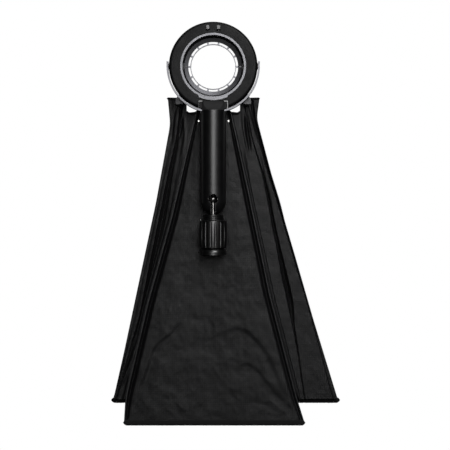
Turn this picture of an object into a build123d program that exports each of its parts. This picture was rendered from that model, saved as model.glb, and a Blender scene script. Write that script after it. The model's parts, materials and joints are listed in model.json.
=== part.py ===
from build123d import *

import os
from math import cos, pi, radians, sin, sqrt

# Collapsible hood head on a hand grip, in millimetres.
# Frame: the origin is on the lamp bore's axis, at the bore's front edge. +X is to the right of someone
# who faces the lamp side, +Y points from the lamp side to the hood side, and +Z is up.

# --- ring housing ---
ring_r = 75.0            # outer radius of the black ring
ring_depth = 26.0        # front face to back face
ring_round = 5.0         # rounding of its outer edges
ring_wall = 2.5          # wall of both shells
bore_depth = 7.0         # length of the lamp bore
back_y = bore_depth      # back face of the ring, level with the bore's back edge
face_y = back_y - ring_depth
split_y = face_y + 15.0  # joint between the front and the rear shell
tilt_y = face_y + ring_depth / 2
gap = 0.3                # free space between bodies that pass each other
fit_gap = 0.05           # radial clearance of a pin or screw in its hole

# --- adapter ring ---
bore_r = 37.5
bore_rim = 1.3
slot_count = 14
slot_height = 3.5
slot_angle = 21.0
cone_width = 11.7        # from the bore to the outer edge of the cone
cone_outer_r = bore_r + cone_width
adapter_flange = 1.8     # flat flange outside the cone
adapter_r = cone_outer_r + adapter_flange
adapter_plate = 3.5
adapter_rim = 4.2
cone_rise = 3.1
slip_ring_thickness = 0.6
adapter_screw_r = bore_r + 8.5
adapter_head_r = 1.6
adapter_head_depth = 1.4
adapter_head_y = -1.1    # seat of the screw heads in the cone
adapter_shank_r = 0.8
adapter_shank_length = 3.1

# --- grip radius, and the notch for the grip's head ---
grip_r = 21.65
notch_gap = 3.0
notch_half = grip_r + notch_gap
cheek_gap = 0.4          # free space between the head's cheeks and the notch

# --- lip ring ---
lip_gap = 2.8            # from the adapter's cone to the lip ring
lip_inner_r = cone_outer_r + lip_gap
lip_width = 3.5
lip_r = lip_inner_r + lip_width
lip_proud = 1.5
lip_depth = 3.0
lip_seat_gap = 0.1
tongue_half = notch_half - lip_seat_gap
tongue_drop = 2.5
tongue_r = lip_r + tongue_drop
notch_floor_r = tongue_r - 0.5
head_gap = 0.7           # between the tongue's corner and the head as the ring tilts
head_sweep_r = sqrt(tongue_r**2 + (tilt_y - face_y + lip_proud) ** 2) + head_gap

# --- yoke ---
yoke_gap = 1.0
yoke_thickness = 3.0
yoke_width = 20.0
yoke_inner_r = ring_r + yoke_gap
yoke_outer_r = yoke_inner_r + yoke_thickness
yoke_end_z = 8.0
yoke_front_y = tilt_y - yoke_width / 2
pivot_r = 3.0
pivot_head_r = 5.0
bush_r = 6.0
bush_length = 8.8
bush_face_x = ring_r + gap
tilt_nut_r = 5.0
tilt_nut_length = 4.0
tilt_washer_r = 4.5
tilt_washer_thickness = 0.4
tilt_washer_gap = 0.1
yoke_screw_x = 9.0
yoke_screw_r = 2.0
yoke_screw_head_r = 4.0
yoke_screw_head_height = 3.0
yoke_screw_head_z = -(yoke_inner_r - 10.0)
yoke_screw_end_z = -(yoke_outer_r + 9.0)

# --- grip ---
grip_bore_r = 15.5
head_block = 13.0        # solid metal between the yoke and the grip's bore
grip_bore_top_z = -(yoke_outer_r + head_block)
grip_length = 121.0      # from the top of its bore to its joint with the foot
foot_joint_z = grip_bore_top_z - grip_length
scoop_y = face_y - 1.6
scoop_height = 16.6
scoop_low_z = -(tongue_r + scoop_height)
scoop_belly = 1.9        # how far the scoop's curve bulges to the front
scoop_belly_place = 0.68
spigot_length = 25.0
foot_screw_z = (foot_joint_z + 19.0, foot_joint_z + 7.0)
foot_screw_r = 1.5
foot_screw_head_r = 3.0
foot_screw_seat = 2.5
foot_screw_head_height = 2.0
foot_screw_tip = 6.0     # from the grip's axis to the screws' tips

# --- swing bolt and knob ---
pin_z = foot_joint_z - 12.0
pin_r = 2.5
pin_inset = 3.65
pin_length = 2 * (grip_r - pin_inset)
eye_r = 7.4
eye_gap = 0.75
rod_r = 3.25
rod_slot_gap = 0.95
dome_centre_z = pin_z - 4.4
foot_end_z = dome_centre_z - grip_r
thread_gap = 0.07
cone_top_z = foot_end_z - gap
cone_height = 8.9
cone_top_r = 16.9
cone_bottom_r = 18.5
cone_bottom_z = cone_top_z - cone_height
washer_r = 10.0
washer_thickness = 1.0
stop_r = 3.95
stop_top_z = foot_end_z + 3.25
stop_height = 1.8
knob_top_z = cone_bottom_z - gap
knob_height = 59.45
knob_end_z = knob_top_z - knob_height
rod_in_knob = 23.45
rod_end_z = knob_top_z - rod_in_knob
rod_end_gap = 1.5
knob_r = 23.5
knob_waist_r = knob_r - 0.9
knob_ring_height = 12.0
knob_ring_round = 9.0
knob_core_r = 14.0
knob_core_inset = 0.5
flute_count = 18
flute_r = 3.2
flute_depth = 1.3
flute_margin = 4.0
spigot_socket_r = 8.1
spigot_socket_depth = 30.0
ball_r = 1.6
ball_x = -(knob_r - 2.3)

# --- catches ---
catch_x = 9.1
catch_width = 5.0
catch_travel = 2.9
tab_low_z = ring_r - 10.0
tab_height = 3.4
tab_proud = 1.5
window_width = 6.6
window_low_z = tab_low_z - 6.0
slider_thickness = 3.0
slider_y = split_y + 1.5
slider_low_z = adapter_r + 4.0
stem_low_z = tab_low_z - 3.5
stem_top_gap = 2.0
spring_wire_r = 0.35
spring_r = 1.5
spring_y = face_y + 8.0

# --- shell screws ---
screw_circle_r = (lip_inner_r + ring_r) / 2 - 0.5
screw_r = 1.5
screw_head_r = 3.0
screw_head_depth = 2.0
boss_r = 4.0
boss_floor_y = face_y + 8.0
shell_screw_angles = (32.0, 62.0, 118.0, 148.0)
hook_screw_angles = (222.0, 318.0)

# --- hood ---
hood_axis_y = back_y + 11.0
hood_axis_z = -(ring_r - 15.0)
hood_front_y = hood_axis_y + 3.5
hood_depth = 20.0
hood_back_y = hood_front_y + hood_depth
cloth = 2.0
bound = 4.0              # width of the bindings
hem_height = 10.0
hem_thickness = 4.0
ear_x = ring_r + 5.5
ear_top_z = hood_axis_z + 8.0
gather_x = ring_r - 17.0
gather_z = hood_axis_z
throat_half = grip_r + 8.35
throat_z = -(ring_r + 9.0)
front_top_z = throat_z - bound
gusset_top_z = throat_z - 8.0
front_length = 522.0     # front panel, from its binding to the lower edge of its hem
rear_length = 520.0      # rear panel, from its ears to the lower edge of its hem
front_end_z = front_top_z - front_length
rear_end_z = ear_top_z - rear_length
gusset_low_z = rear_end_z + hem_height
front_hem_reach = (152.5, 155.5)   # from the grip's axis to the left and to the right
rear_hem_reach = (174.0, 216.0)
seam_inset = 0.5         # the front seams end just inside the hem's ends
rod_radius = 1.5
rod_inset = 7.0
hook_bar_r = 1.5
hook_bar_half = 4.0
hook_lug = 2.0
hook_lug_r = 2.8
hook_plate = 2.0
hook_shoulder = 6.0
loop_r = 3.0
loop_half = 3.0
loop_tail = 5.0
loop_tail_drop = 3.5
rivet_r = 1.6
rivet_height = 1.0

# --- planes and axes used by several pieces ---
grip_axis = Axis((0, tilt_y, 0), (0, 0, 1))
grip_section = Plane.XZ.offset(-tilt_y)


def facing(y):
    """The upright plane at depth y; its normal points to the lamp side."""
    return Plane.XZ.offset(-y)


def level(z):
    """The level plane at height z, centred on the grip's axis."""
    return Plane(origin=(0, tilt_y, z))


def on_circle(radius, angle):
    """A point of a circle round the lamp axis, as X and Z."""
    return (radius * cos(radians(angle)), radius * sin(radians(angle)))


def save(piece, name):
    piece.part.label = name
    export_step(piece.part, f"parts/{name}.step")


os.makedirs("parts", exist_ok=True)

# ---------------------------------------------------------------- ring housing

boss_points = [on_circle(screw_circle_r, a) for a in shell_screw_angles + hook_screw_angles]

with BuildPart() as front_shell:
    with BuildSketch(Plane.XY) as section:
        with BuildLine():
            Polyline(
                (lip_inner_r, face_y + lip_depth - lip_proud),
                (lip_r + lip_seat_gap, face_y + lip_depth - lip_proud),
                (lip_r + lip_seat_gap, face_y),
                (ring_r, face_y),
                (ring_r, split_y),
                (cone_outer_r, split_y),
                close=True,
            )
        make_face()
        fillet(section.vertices().sort_by_distance((ring_r, face_y, 0))[0], ring_round)
    revolve(axis=Axis.Y)
    with BuildSketch(facing(face_y)):
        with Locations((0, -notch_floor_r)):
            Rectangle(2 * notch_half, ring_r, align=(Align.CENTER, Align.MAX))
    extrude(amount=-ring_depth, mode=Mode.SUBTRACT)
    with BuildSketch(facing(face_y + ring_wall)):
        Circle(ring_r - ring_wall)
        Circle(lip_inner_r + ring_wall, mode=Mode.SUBTRACT)
        with Locations((0, -ring_r)):
            Rectangle(2 * (notch_half + ring_wall), 2 * ring_r, mode=Mode.SUBTRACT)
    extrude(amount=-ring_depth, mode=Mode.SUBTRACT)
    with BuildSketch(facing(face_y + ring_wall)):
        with Locations(*boss_points):
            Circle(boss_r)
    extrude(amount=-(split_y - face_y - ring_wall))
    with BuildSketch(facing(boss_floor_y)):
        with Locations(*boss_points):
            Circle(screw_r + fit_gap)
    extrude(amount=-ring_depth, mode=Mode.SUBTRACT)
    with BuildSketch(facing(face_y)):
        with Locations((-catch_x, window_low_z), (catch_x, window_low_z)):
            Rectangle(window_width, tab_low_z + gap - window_low_z, align=(Align.CENTER, Align.MIN))
    extrude(amount=-ring_wall, mode=Mode.SUBTRACT)
    with BuildSketch(Plane.YZ.offset(-2 * ring_r)):
        with Locations((tilt_y, 0)):
            Circle(bush_r)
    extrude(amount=4 * ring_r, mode=Mode.SUBTRACT)

with BuildPart() as rear_shell:
    with BuildSketch(Plane.XY) as section:
        with BuildLine():
            Polyline(
                (adapter_r + gap, split_y),
                (ring_r, split_y),
                (ring_r, back_y),
                (cone_outer_r, back_y),
                (cone_outer_r, back_y - ring_wall),
                (adapter_r + gap, back_y - ring_wall),
                close=True,
            )
        make_face()
        fillet(section.vertices().sort_by_distance((ring_r, back_y, 0))[0], ring_round)
    revolve(axis=Axis.Y)
    with BuildSketch(facing(split_y)):
        with Locations((0, -notch_floor_r)):
            Rectangle(2 * notch_half, ring_r, align=(Align.CENTER, Align.MAX))
    extrude(amount=-ring_depth, mode=Mode.SUBTRACT)
    with BuildSketch(facing(split_y)):
        Circle(ring_r - ring_wall)
        Circle(lip_inner_r + ring_wall, mode=Mode.SUBTRACT)
        with Locations((0, -ring_r)):
            Rectangle(2 * (notch_half + ring_wall), 2 * ring_r, mode=Mode.SUBTRACT)
    extrude(amount=-(back_y - ring_wall - split_y), mode=Mode.SUBTRACT)
    with BuildSketch(facing(split_y)):
        with Locations(*boss_points):
            Circle(boss_r)
    extrude(amount=-(back_y - ring_wall - split_y))
    with BuildSketch(facing(split_y)):
        with Locations(*boss_points):
            Circle(screw_r + fit_gap)
    extrude(amount=-ring_depth, mode=Mode.SUBTRACT)
    with BuildSketch(facing(back_y)):
        with Locations(*[on_circle(screw_circle_r, a) for a in shell_screw_angles]):
            Circle(screw_head_r + fit_gap)
    extrude(amount=screw_head_depth, mode=Mode.SUBTRACT)
    with BuildSketch(facing(slider_y)):
        with Locations((-catch_x, slider_low_z - 6.0), (catch_x, slider_low_z - 6.0)):
            Rectangle(catch_width + 2 * gap, 8.0, align=(Align.CENTER, Align.MIN))
    extrude(amount=-(slider_thickness + 2 * gap), mode=Mode.SUBTRACT)
    with BuildSketch(Plane.YZ.offset(-2 * ring_r)):
        with Locations((tilt_y, 0)):
            Circle(bush_r)
    extrude(amount=4 * ring_r, mode=Mode.SUBTRACT)

with BuildPart() as shell_screws:
    with BuildSketch(facing(back_y)):
        with Locations(*[on_circle(screw_circle_r, a) for a in shell_screw_angles]):
            Circle(screw_head_r)
    extrude(amount=screw_head_depth)
    with BuildSketch(facing(back_y)):
        with Locations(*[on_circle(screw_circle_r, a) for a in shell_screw_angles]):
            Circle(screw_r)
    extrude(amount=back_y - boss_floor_y)

hook_points = [on_circle(screw_circle_r, a) for a in hook_screw_angles]
with BuildPart() as hook_screws:
    with BuildSketch(facing(back_y + hook_plate + screw_head_depth)):
        with Locations(*hook_points):
            Circle(screw_head_r)
    extrude(amount=screw_head_depth)
    with BuildSketch(facing(back_y + hook_plate)):
        with Locations(*hook_points):
            Circle(screw_r)
    extrude(amount=back_y + hook_plate - boss_floor_y)

with BuildPart() as lip_ring:
    with BuildSketch(facing(face_y - lip_proud)):
        Circle(lip_r)
        Circle(lip_inner_r, mode=Mode.SUBTRACT)
    extrude(amount=-lip_depth)
    with BuildSketch(facing(face_y - lip_proud)):
        Circle(tongue_r)
        Circle(lip_inner_r + lip_width / 2, mode=Mode.SUBTRACT)
        with Locations((0, -ring_r)):
            Rectangle(2 * tongue_half, 2 * ring_r, mode=Mode.INTERSECT)
    extrude(amount=-lip_proud)

with BuildPart() as slip_ring:
    with BuildSketch(facing(split_y)):
        Circle(adapter_r)
        Circle(cone_outer_r, mode=Mode.SUBTRACT)
    extrude(amount=-slip_ring_thickness)

with BuildPart() as tilt_bushes:
    for side in (-1, 1):
        with BuildSketch(Plane.YZ.offset(side * bush_face_x)):
            with Locations((tilt_y, 0)):
                Circle(bush_r)
                Circle(pivot_r + fit_gap, mode=Mode.SUBTRACT)
        extrude(amount=-side * bush_length)

hook_out_x = gather_x + hook_bar_half + hook_lug
hook_in_x = gather_x - hook_bar_half - hook_lug
hook_screw_x, hook_screw_z = hook_points[1]
with BuildPart() as hood_hooks:
    for side in (-1, 1):
        with BuildSketch(facing(back_y + hook_plate)):
            with BuildLine():
                Polyline(
                    (side * (hook_screw_x - 6.8), hook_screw_z + 2.2),
                    (side * (hook_screw_x + 3.2), hook_screw_z + 7.2),
                    (side * hook_out_x, hood_axis_z + hook_shoulder),
                    (side * hook_out_x, hood_axis_z - hook_lug_r),
                    (side * hook_in_x, hood_axis_z - hook_lug_r),
                    (side * hook_in_x, hood_axis_z + hook_shoulder),
                    close=True,
                )
            make_face()
        extrude(amount=hook_plate)
        for lug_side in (-1, 1):
            lug_x = side * gather_x + lug_side * (hook_bar_half + hook_lug / 2)
            with BuildSketch(Plane.YZ.offset(lug_x - hook_lug / 2)):
                with Locations((hood_axis_y, hood_axis_z)):
                    Circle(hook_lug_r)
                with Locations((back_y + hook_plate, hood_axis_z)):
                    Rectangle(
                        hood_axis_y - back_y - hook_plate,
                        2 * hook_lug_r,
                        align=(Align.MIN, Align.CENTER),
                    )
            extrude(amount=hook_lug)
        with BuildSketch(Plane.YZ.offset(side * gather_x - hook_bar_half)):
            with Locations((hood_axis_y, hood_axis_z)):
                Circle(hook_bar_r)
        extrude(amount=2 * hook_bar_half)
    with BuildSketch(facing(back_y)):
        with Locations(*hook_points):
            Circle(screw_r + fit_gap)
    extrude(amount=-hook_plate, mode=Mode.SUBTRACT)

# ---------------------------------------------------------------- catches


stem_base_z = stem_low_z + catch_travel - stem_top_gap


def build_catch(x):
    """A push catch: thumb tab, stem through the shell's window, slider and brake nose."""
    with BuildPart() as catch:
        with BuildSketch(facing(face_y - tab_proud)):
            with Locations((x, tab_low_z)):
                Rectangle(catch_width, tab_height, align=(Align.CENTER, Align.MIN))
        extrude(amount=-(tab_proud - gap / 3))
        with BuildSketch(facing(face_y - tab_proud)):
            with Locations((x, stem_base_z)):
                Rectangle(catch_width, tab_low_z - stem_base_z, align=(Align.CENTER, Align.MIN))
        extrude(amount=-(slider_y + gap + slider_thickness - face_y + tab_proud))
        with BuildSketch(facing(slider_y + gap)):
            with Locations((x, slider_low_z)):
                Rectangle(catch_width, tab_low_z - slider_low_z, align=(Align.CENTER, Align.MIN))
        extrude(amount=-slider_thickness)
    return catch


def build_catch_spring(x):
    """The coil spring under a catch's stem, seated on the inner barrel."""
    low = lip_inner_r + ring_wall + gap
    high = stem_base_z - gap
    pitch = (high - low - 2 * spring_wire_r) / 4
    with BuildPart() as spring:
        with BuildLine(Plane(origin=(x, spring_y, low + spring_wire_r))) as coil:
            Helix(pitch=pitch, height=4 * pitch, radius=spring_r)
        with BuildSketch(Plane(origin=coil.line @ 0, z_dir=coil.line % 0)):
            Circle(spring_wire_r)
        sweep(path=coil.line, is_frenet=True)
    return spring


# ---------------------------------------------------------------- adapter ring

with BuildPart() as adapter_ring:
    with BuildSketch(Plane.XY):
        with BuildLine():
            Polyline(
                (adapter_r, -cone_rise),
                (cone_outer_r, -cone_rise),
                (bore_r + bore_rim + slot_height, 0),
                (bore_r, 0),
                (bore_r, bore_depth),
                (bore_r + bore_rim, bore_depth),
                (bore_r + bore_rim, adapter_plate),
                (adapter_screw_r, adapter_plate),
                (adapter_screw_r, adapter_rim),
                (adapter_r, adapter_rim),
                close=True,
            )
        make_face()
    revolve(axis=Axis.Y)
    with BuildSketch(facing(-cone_rise)):
        Circle(bore_r + bore_rim + slot_height)
        Circle(bore_r + bore_rim, mode=Mode.SUBTRACT)
        for post in range(slot_count):
            angle = 360 / slot_count * (post + 0.5) - 90
            with Locations(on_circle(bore_r + bore_rim + slot_height / 2, angle)):
                Rectangle(
                    2 * slot_height,
                    (360 / slot_count - slot_angle) / 180 * pi * (bore_r + bore_rim),
                    rotation=angle,
                    mode=Mode.SUBTRACT,
                )
    extrude(amount=-(cone_rise + adapter_plate), mode=Mode.SUBTRACT)
    with BuildSketch(facing(-cone_rise)):
        with Locations((-adapter_screw_r, 0), (adapter_screw_r, 0)):
            Circle(adapter_head_r + fit_gap)
    extrude(amount=-(cone_rise + adapter_head_y), mode=Mode.SUBTRACT)
    with BuildSketch(facing(adapter_head_y)):
        with Locations((-adapter_screw_r, 0), (adapter_screw_r, 0)):
            Circle(adapter_shank_r + fit_gap)
    extrude(amount=-adapter_shank_length, mode=Mode.SUBTRACT)

with BuildPart() as adapter_screws:
    with BuildSketch(facing(adapter_head_y - adapter_head_depth)):
        with Locations((-adapter_screw_r, 0), (adapter_screw_r, 0)):
            Circle(adapter_head_r)
    extrude(amount=-adapter_head_depth)
    with BuildSketch(facing(adapter_head_y)):
        with Locations((-adapter_screw_r, 0), (adapter_screw_r, 0)):
            Circle(adapter_shank_r)
    extrude(amount=-adapter_shank_length)

# ---------------------------------------------------------------- yoke

def band_section(inner, outer):
    """The band's curve: the lower half of a ring."""
    Circle(outer)
    Circle(inner, mode=Mode.SUBTRACT)
    with Locations((0, -outer)):
        Rectangle(2 * outer, 2 * outer, mode=Mode.INTERSECT)


with BuildPart() as yoke_band:
    with BuildSketch(facing(yoke_front_y)):
        band_section(yoke_inner_r, yoke_outer_r)
        for side in (-1, 1):
            with Locations((side * (yoke_inner_r + yoke_thickness / 2), 0)):
                Rectangle(yoke_thickness, yoke_end_z, align=(Align.CENTER, Align.MIN))
    extrude(amount=-yoke_width)
    for side in (-1, 1):
        with BuildSketch(Plane.YZ.offset(side * yoke_outer_r)):
            with Locations((tilt_y, 0)):
                Circle(pivot_head_r + fit_gap)
        with BuildSketch(Plane.YZ.offset(side * (yoke_outer_r - pivot_head_r + pivot_r))):
            with Locations((tilt_y, 0)):
                Circle(pivot_r + fit_gap)
        loft(mode=Mode.SUBTRACT)
    with BuildSketch(Plane.YZ.offset(-2 * ring_r)):
        with Locations((tilt_y, 0)):
            Circle(pivot_r + fit_gap)
    extrude(amount=4 * ring_r, mode=Mode.SUBTRACT)
    with BuildSketch(level(yoke_screw_head_z)):
        with Locations((-yoke_screw_x, 0), (yoke_screw_x, 0)):
            Circle(yoke_screw_r + fit_gap)
    extrude(amount=yoke_screw_end_z - yoke_screw_head_z, mode=Mode.SUBTRACT)

screw_tip_x = bush_face_x - bush_length - gap - tilt_nut_length
with BuildPart() as tilt_screws:
    for side in (-1, 1):
        with BuildSketch(Plane.YZ.offset(side * yoke_outer_r)):
            with Locations((tilt_y, 0)):
                Circle(pivot_head_r)
        with BuildSketch(Plane.YZ.offset(side * (yoke_outer_r - pivot_head_r + pivot_r))):
            with Locations((tilt_y, 0)):
                Circle(pivot_r)
        loft()
        with BuildSketch(Plane.YZ.offset(side * screw_tip_x)):
            with Locations((tilt_y, 0)):
                Circle(pivot_r)
        extrude(amount=side * (yoke_outer_r - 1 - screw_tip_x))

with BuildPart() as tilt_nuts:
    for side in (-1, 1):
        with BuildSketch(Plane.YZ.offset(side * screw_tip_x)):
            with Locations((tilt_y, 0)):
                RegularPolygon(tilt_nut_r, 6)
                Circle(pivot_r, mode=Mode.SUBTRACT)
        extrude(amount=side * tilt_nut_length)

with BuildPart() as tilt_washers:
    for side in (-1, 1):
        with BuildSketch(Plane.YZ.offset(side * (bush_face_x + tilt_washer_gap))):
            with Locations((tilt_y, 0)):
                Circle(tilt_washer_r)
                Circle(pivot_r + fit_gap, mode=Mode.SUBTRACT)
        extrude(amount=side * tilt_washer_thickness)

# ---------------------------------------------------------------- grip

scoop_top_z = -sqrt(head_sweep_r**2 - (tilt_y - scoop_y) ** 2)
grip_front_y = tilt_y - grip_r
cheek_low_z = -sqrt((yoke_inner_r - gap) ** 2 - notch_half**2)

with BuildPart() as handle_body:
    with BuildSketch(level(foot_joint_z)):
        Circle(grip_r)
    extrude(amount=-foot_joint_z - grip_r)
    with BuildSketch(facing(yoke_front_y)):
        with Locations((0, cheek_low_z)):
            Rectangle(2 * (notch_half - cheek_gap), grip_r, align=(Align.CENTER, Align.MIN))
    extrude(amount=-yoke_width)
    with BuildSketch(Plane.YZ.offset(-2 * grip_r)):
        with Locations((tilt_y, 0)):
            Circle(head_sweep_r)
    extrude(amount=4 * grip_r, mode=Mode.SUBTRACT)
    with BuildSketch(Plane.YZ.offset(-2 * grip_r)):
        with BuildLine():
            Polyline(
                (grip_front_y, scoop_low_z),
                (grip_front_y - grip_r, scoop_low_z),
                (grip_front_y - grip_r, -grip_r),
                (scoop_y, -grip_r),
                (scoop_y, scoop_top_z),
            )
            ThreePointArc(
                (scoop_y, scoop_top_z),
                (scoop_y - scoop_belly, scoop_top_z - scoop_belly_place * (scoop_top_z - scoop_low_z)),
                (grip_front_y, scoop_low_z),
            )
        make_face()
    extrude(amount=4 * grip_r, mode=Mode.SUBTRACT)
    with BuildSketch(facing(yoke_front_y - fit_gap)):
        band_section(yoke_inner_r - fit_gap, yoke_outer_r + fit_gap)
    extrude(amount=-3 * grip_r, mode=Mode.SUBTRACT)
    with BuildSketch(level(foot_joint_z)):
        Circle(grip_bore_r)
    extrude(amount=grip_bore_top_z - foot_joint_z, mode=Mode.SUBTRACT)
    with BuildSketch(level(yoke_screw_head_z)):
        with Locations((-yoke_screw_x, 0), (yoke_screw_x, 0)):
            Circle(yoke_screw_head_r + fit_gap)
    extrude(amount=grip_r, mode=Mode.SUBTRACT)
    with BuildSketch(level(yoke_screw_head_z)):
        with Locations((-yoke_screw_x, 0), (yoke_screw_x, 0)):
            Circle(yoke_screw_r + fit_gap)
    extrude(amount=yoke_screw_end_z - yoke_screw_head_z, mode=Mode.SUBTRACT)
    for height in foot_screw_z:
        with BuildSketch(facing(tilt_y + grip_r)):
            with Locations((0, height)):
                Circle(foot_screw_head_r + fit_gap)
        extrude(amount=foot_screw_seat, mode=Mode.SUBTRACT)
        with BuildSketch(facing(tilt_y + grip_r)):
            with Locations((0, height)):
                Circle(foot_screw_r + fit_gap)
        extrude(amount=grip_r, mode=Mode.SUBTRACT)

with BuildPart() as yoke_slot_filler:
    with BuildSketch(facing(tilt_y + yoke_width / 2 + 0.1)):
        band_section(yoke_inner_r, yoke_outer_r)
    extrude(amount=-2 * grip_r)
    with BuildSketch(level(-yoke_outer_r - 1)):
        Circle(grip_r - 0.1)
    extrude(amount=grip_r, mode=Mode.INTERSECT)

with BuildPart() as yoke_screws:
    with BuildSketch(level(yoke_screw_head_z)):
        with Locations((-yoke_screw_x, 0), (yoke_screw_x, 0)):
            Circle(yoke_screw_head_r)
    extrude(amount=yoke_screw_head_height)
    with BuildSketch(level(yoke_screw_head_z)):
        with Locations((-yoke_screw_x, 0), (yoke_screw_x, 0)):
            Circle(yoke_screw_r)
    extrude(amount=yoke_screw_end_z - yoke_screw_head_z)

eye_pocket_r = eye_r + eye_gap
rod_slot_half = rod_r + rod_slot_gap
with BuildPart() as handle_foot:
    with BuildSketch(grip_section):
        with BuildLine():
            Polyline(
                (0, foot_joint_z + spigot_length),
                (grip_bore_r - fit_gap, foot_joint_z + spigot_length),
                (grip_bore_r - fit_gap, foot_joint_z),
                (grip_r, foot_joint_z),
                (grip_r, dome_centre_z),
            )
            CenterArc((0, dome_centre_z), grip_r, 0, -90)
            Line((0, foot_end_z), (0, foot_joint_z + spigot_length))
        make_face()
    revolve(axis=grip_axis)
    with BuildSketch(facing(tilt_y + eye_pocket_r)):
        with Locations((0, pin_z)):
            Circle(eye_pocket_r)
    extrude(amount=3 * grip_r, mode=Mode.SUBTRACT)
    with BuildSketch(facing(tilt_y + rod_slot_half)):
        with Locations((0, pin_z)):
            Rectangle(2 * rod_slot_half, 2 * grip_r, align=(Align.CENTER, Align.MAX))
    extrude(amount=3 * grip_r, mode=Mode.SUBTRACT)
    with BuildSketch(Plane.YZ.offset(-pin_length / 2)):
        with Locations((tilt_y, pin_z)):
            Circle(pin_r)
    extrude(amount=pin_length, mode=Mode.SUBTRACT)
    for height in foot_screw_z:
        with BuildSketch(facing(tilt_y + grip_r)):
            with Locations((0, height)):
                Circle(foot_screw_r)
        extrude(amount=grip_r - foot_screw_tip, mode=Mode.SUBTRACT)

with BuildPart() as foot_screws:
    head_y = tilt_y + grip_r - foot_screw_seat + foot_screw_head_height
    for height in foot_screw_z:
        with BuildSketch(facing(head_y)):
            with Locations((0, height)):
                Circle(foot_screw_head_r)
        extrude(amount=foot_screw_head_height)
        with BuildSketch(facing(head_y)):
            with Locations((0, height)):
                Circle(foot_screw_r)
        extrude(amount=head_y - tilt_y - foot_screw_tip)

with BuildPart() as foot_pin:
    with BuildSketch(Plane.YZ.offset(-pin_length / 2)):
        with Locations((tilt_y, pin_z)):
            Circle(pin_r)
    extrude(amount=pin_length)

# ---------------------------------------------------------------- swing bolt, collar and knob

with BuildPart() as swing_bolt:
    with BuildSketch(grip_section):
        with BuildLine():
            Line((0, pin_z + eye_r), (0, rod_end_z))
            Line((0, rod_end_z), (rod_r, rod_end_z))
            Line((rod_r, rod_end_z), (rod_r, pin_z - sqrt(eye_r**2 - rod_r**2)))
            ThreePointArc(
                (rod_r, pin_z - sqrt(eye_r**2 - rod_r**2)), (eye_r, pin_z), (0, pin_z + eye_r)
            )
        make_face()
    revolve(axis=grip_axis)
    with BuildSketch(Plane.YZ.offset(-2 * eye_r)):
        with Locations((tilt_y, pin_z)):
            Circle(pin_r + fit_gap)
    extrude(amount=4 * eye_r, mode=Mode.SUBTRACT)

with BuildPart() as rod_stop:
    with BuildSketch(level(stop_top_z)):
        Circle(stop_r)
        Circle(rod_r, mode=Mode.SUBTRACT)
    extrude(amount=-stop_height)

with BuildPart() as pressure_cone:
    step = cone_height / 3
    with BuildSketch(grip_section):
        with BuildLine():
            Polyline(
                (rod_r + thread_gap, cone_top_z),
                (cone_top_r - 1, cone_top_z),
                (cone_top_r, cone_top_z - 1),
                (cone_top_r, cone_top_z - step),
                (cone_top_r - 0.6, cone_top_z - step - 0.5),
                (cone_top_r + 0.8, cone_top_z - step - 1),
                (cone_top_r + 0.8, cone_top_z - 2 * step),
                (cone_top_r + 0.2, cone_top_z - 2 * step - 0.5),
                (cone_bottom_r, cone_top_z - 2 * step - 1),
                (cone_bottom_r, cone_bottom_z),
                (washer_r, cone_bottom_z),
                (washer_r, cone_bottom_z + washer_thickness),
                (rod_r + thread_gap, cone_bottom_z + washer_thickness),
                close=True,
            )
        make_face()
    revolve(axis=grip_axis)

with BuildPart() as thrust_washer:
    with BuildSketch(level(cone_bottom_z)):
        Circle(washer_r)
        Circle(rod_r + thread_gap, mode=Mode.SUBTRACT)
    extrude(amount=washer_thickness)

knob_ring_top_z = knob_end_z + knob_ring_height
knob_mid_z = (knob_top_z + knob_ring_top_z) / 2
with BuildPart() as knob_grip:
    with BuildSketch(grip_section):
        with BuildLine():
            Line((knob_core_r + fit_gap, knob_ring_top_z), (knob_waist_r, knob_ring_top_z))
            ThreePointArc(
                (knob_waist_r, knob_ring_top_z), (knob_r, knob_mid_z), (knob_waist_r, knob_top_z - 2)
            )
            Line((knob_waist_r, knob_top_z - 2), (knob_waist_r - 2, knob_top_z))
            Line((knob_waist_r - 2, knob_top_z), (knob_core_r + fit_gap, knob_top_z))
            Line((knob_core_r + fit_gap, knob_top_z), (knob_core_r + fit_gap, knob_ring_top_z))
        make_face()
    revolve(axis=grip_axis)
    with BuildSketch(level(knob_ring_top_z + 1)):
        with PolarLocations(knob_r + flute_r - flute_depth, flute_count):
            Circle(flute_r)
    extrude(amount=knob_top_z - flute_margin - knob_ring_top_z - 1, mode=Mode.SUBTRACT)
    with BuildSketch(level(knob_top_z)):
        with Locations((ball_x, 0)):
            Circle(ball_r)
    extrude(amount=-2 * ball_r, mode=Mode.SUBTRACT)

with BuildPart() as shoulder_ball:
    with BuildSketch(level(knob_top_z - 2 * ball_r)):
        with Locations((ball_x, 0)):
            Circle(ball_r)
    extrude(amount=2 * ball_r)
    with BuildSketch(Plane(origin=(0, tilt_y, knob_top_z), x_dir=(1, 0, 0), z_dir=(0, -1, 0))):
        with BuildLine():
            Line((ball_x, 0), (ball_x + ball_r, 0))
            CenterArc((ball_x, 0), ball_r, 0, 90)
            Line((ball_x, ball_r), (ball_x, 0))
        make_face()
    revolve(axis=Axis((ball_x, tilt_y, 0), (0, 0, 1)))

with BuildPart() as knob_end_ring:
    with BuildSketch(grip_section) as section:
        with BuildLine():
            Polyline(
                (knob_core_r + fit_gap, knob_ring_top_z),
                (knob_waist_r, knob_ring_top_z),
                (knob_waist_r, knob_end_z),
                (knob_core_r + fit_gap, knob_end_z),
                close=True,
            )
        make_face()
        outer_corner = section.vertices().sort_by(Axis.X)[-2:].sort_by(Axis.Z)[0]
        fillet(outer_corner, min(knob_ring_round, knob_waist_r - knob_core_r - 1, knob_ring_height - 2))
    revolve(axis=grip_axis)

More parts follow.
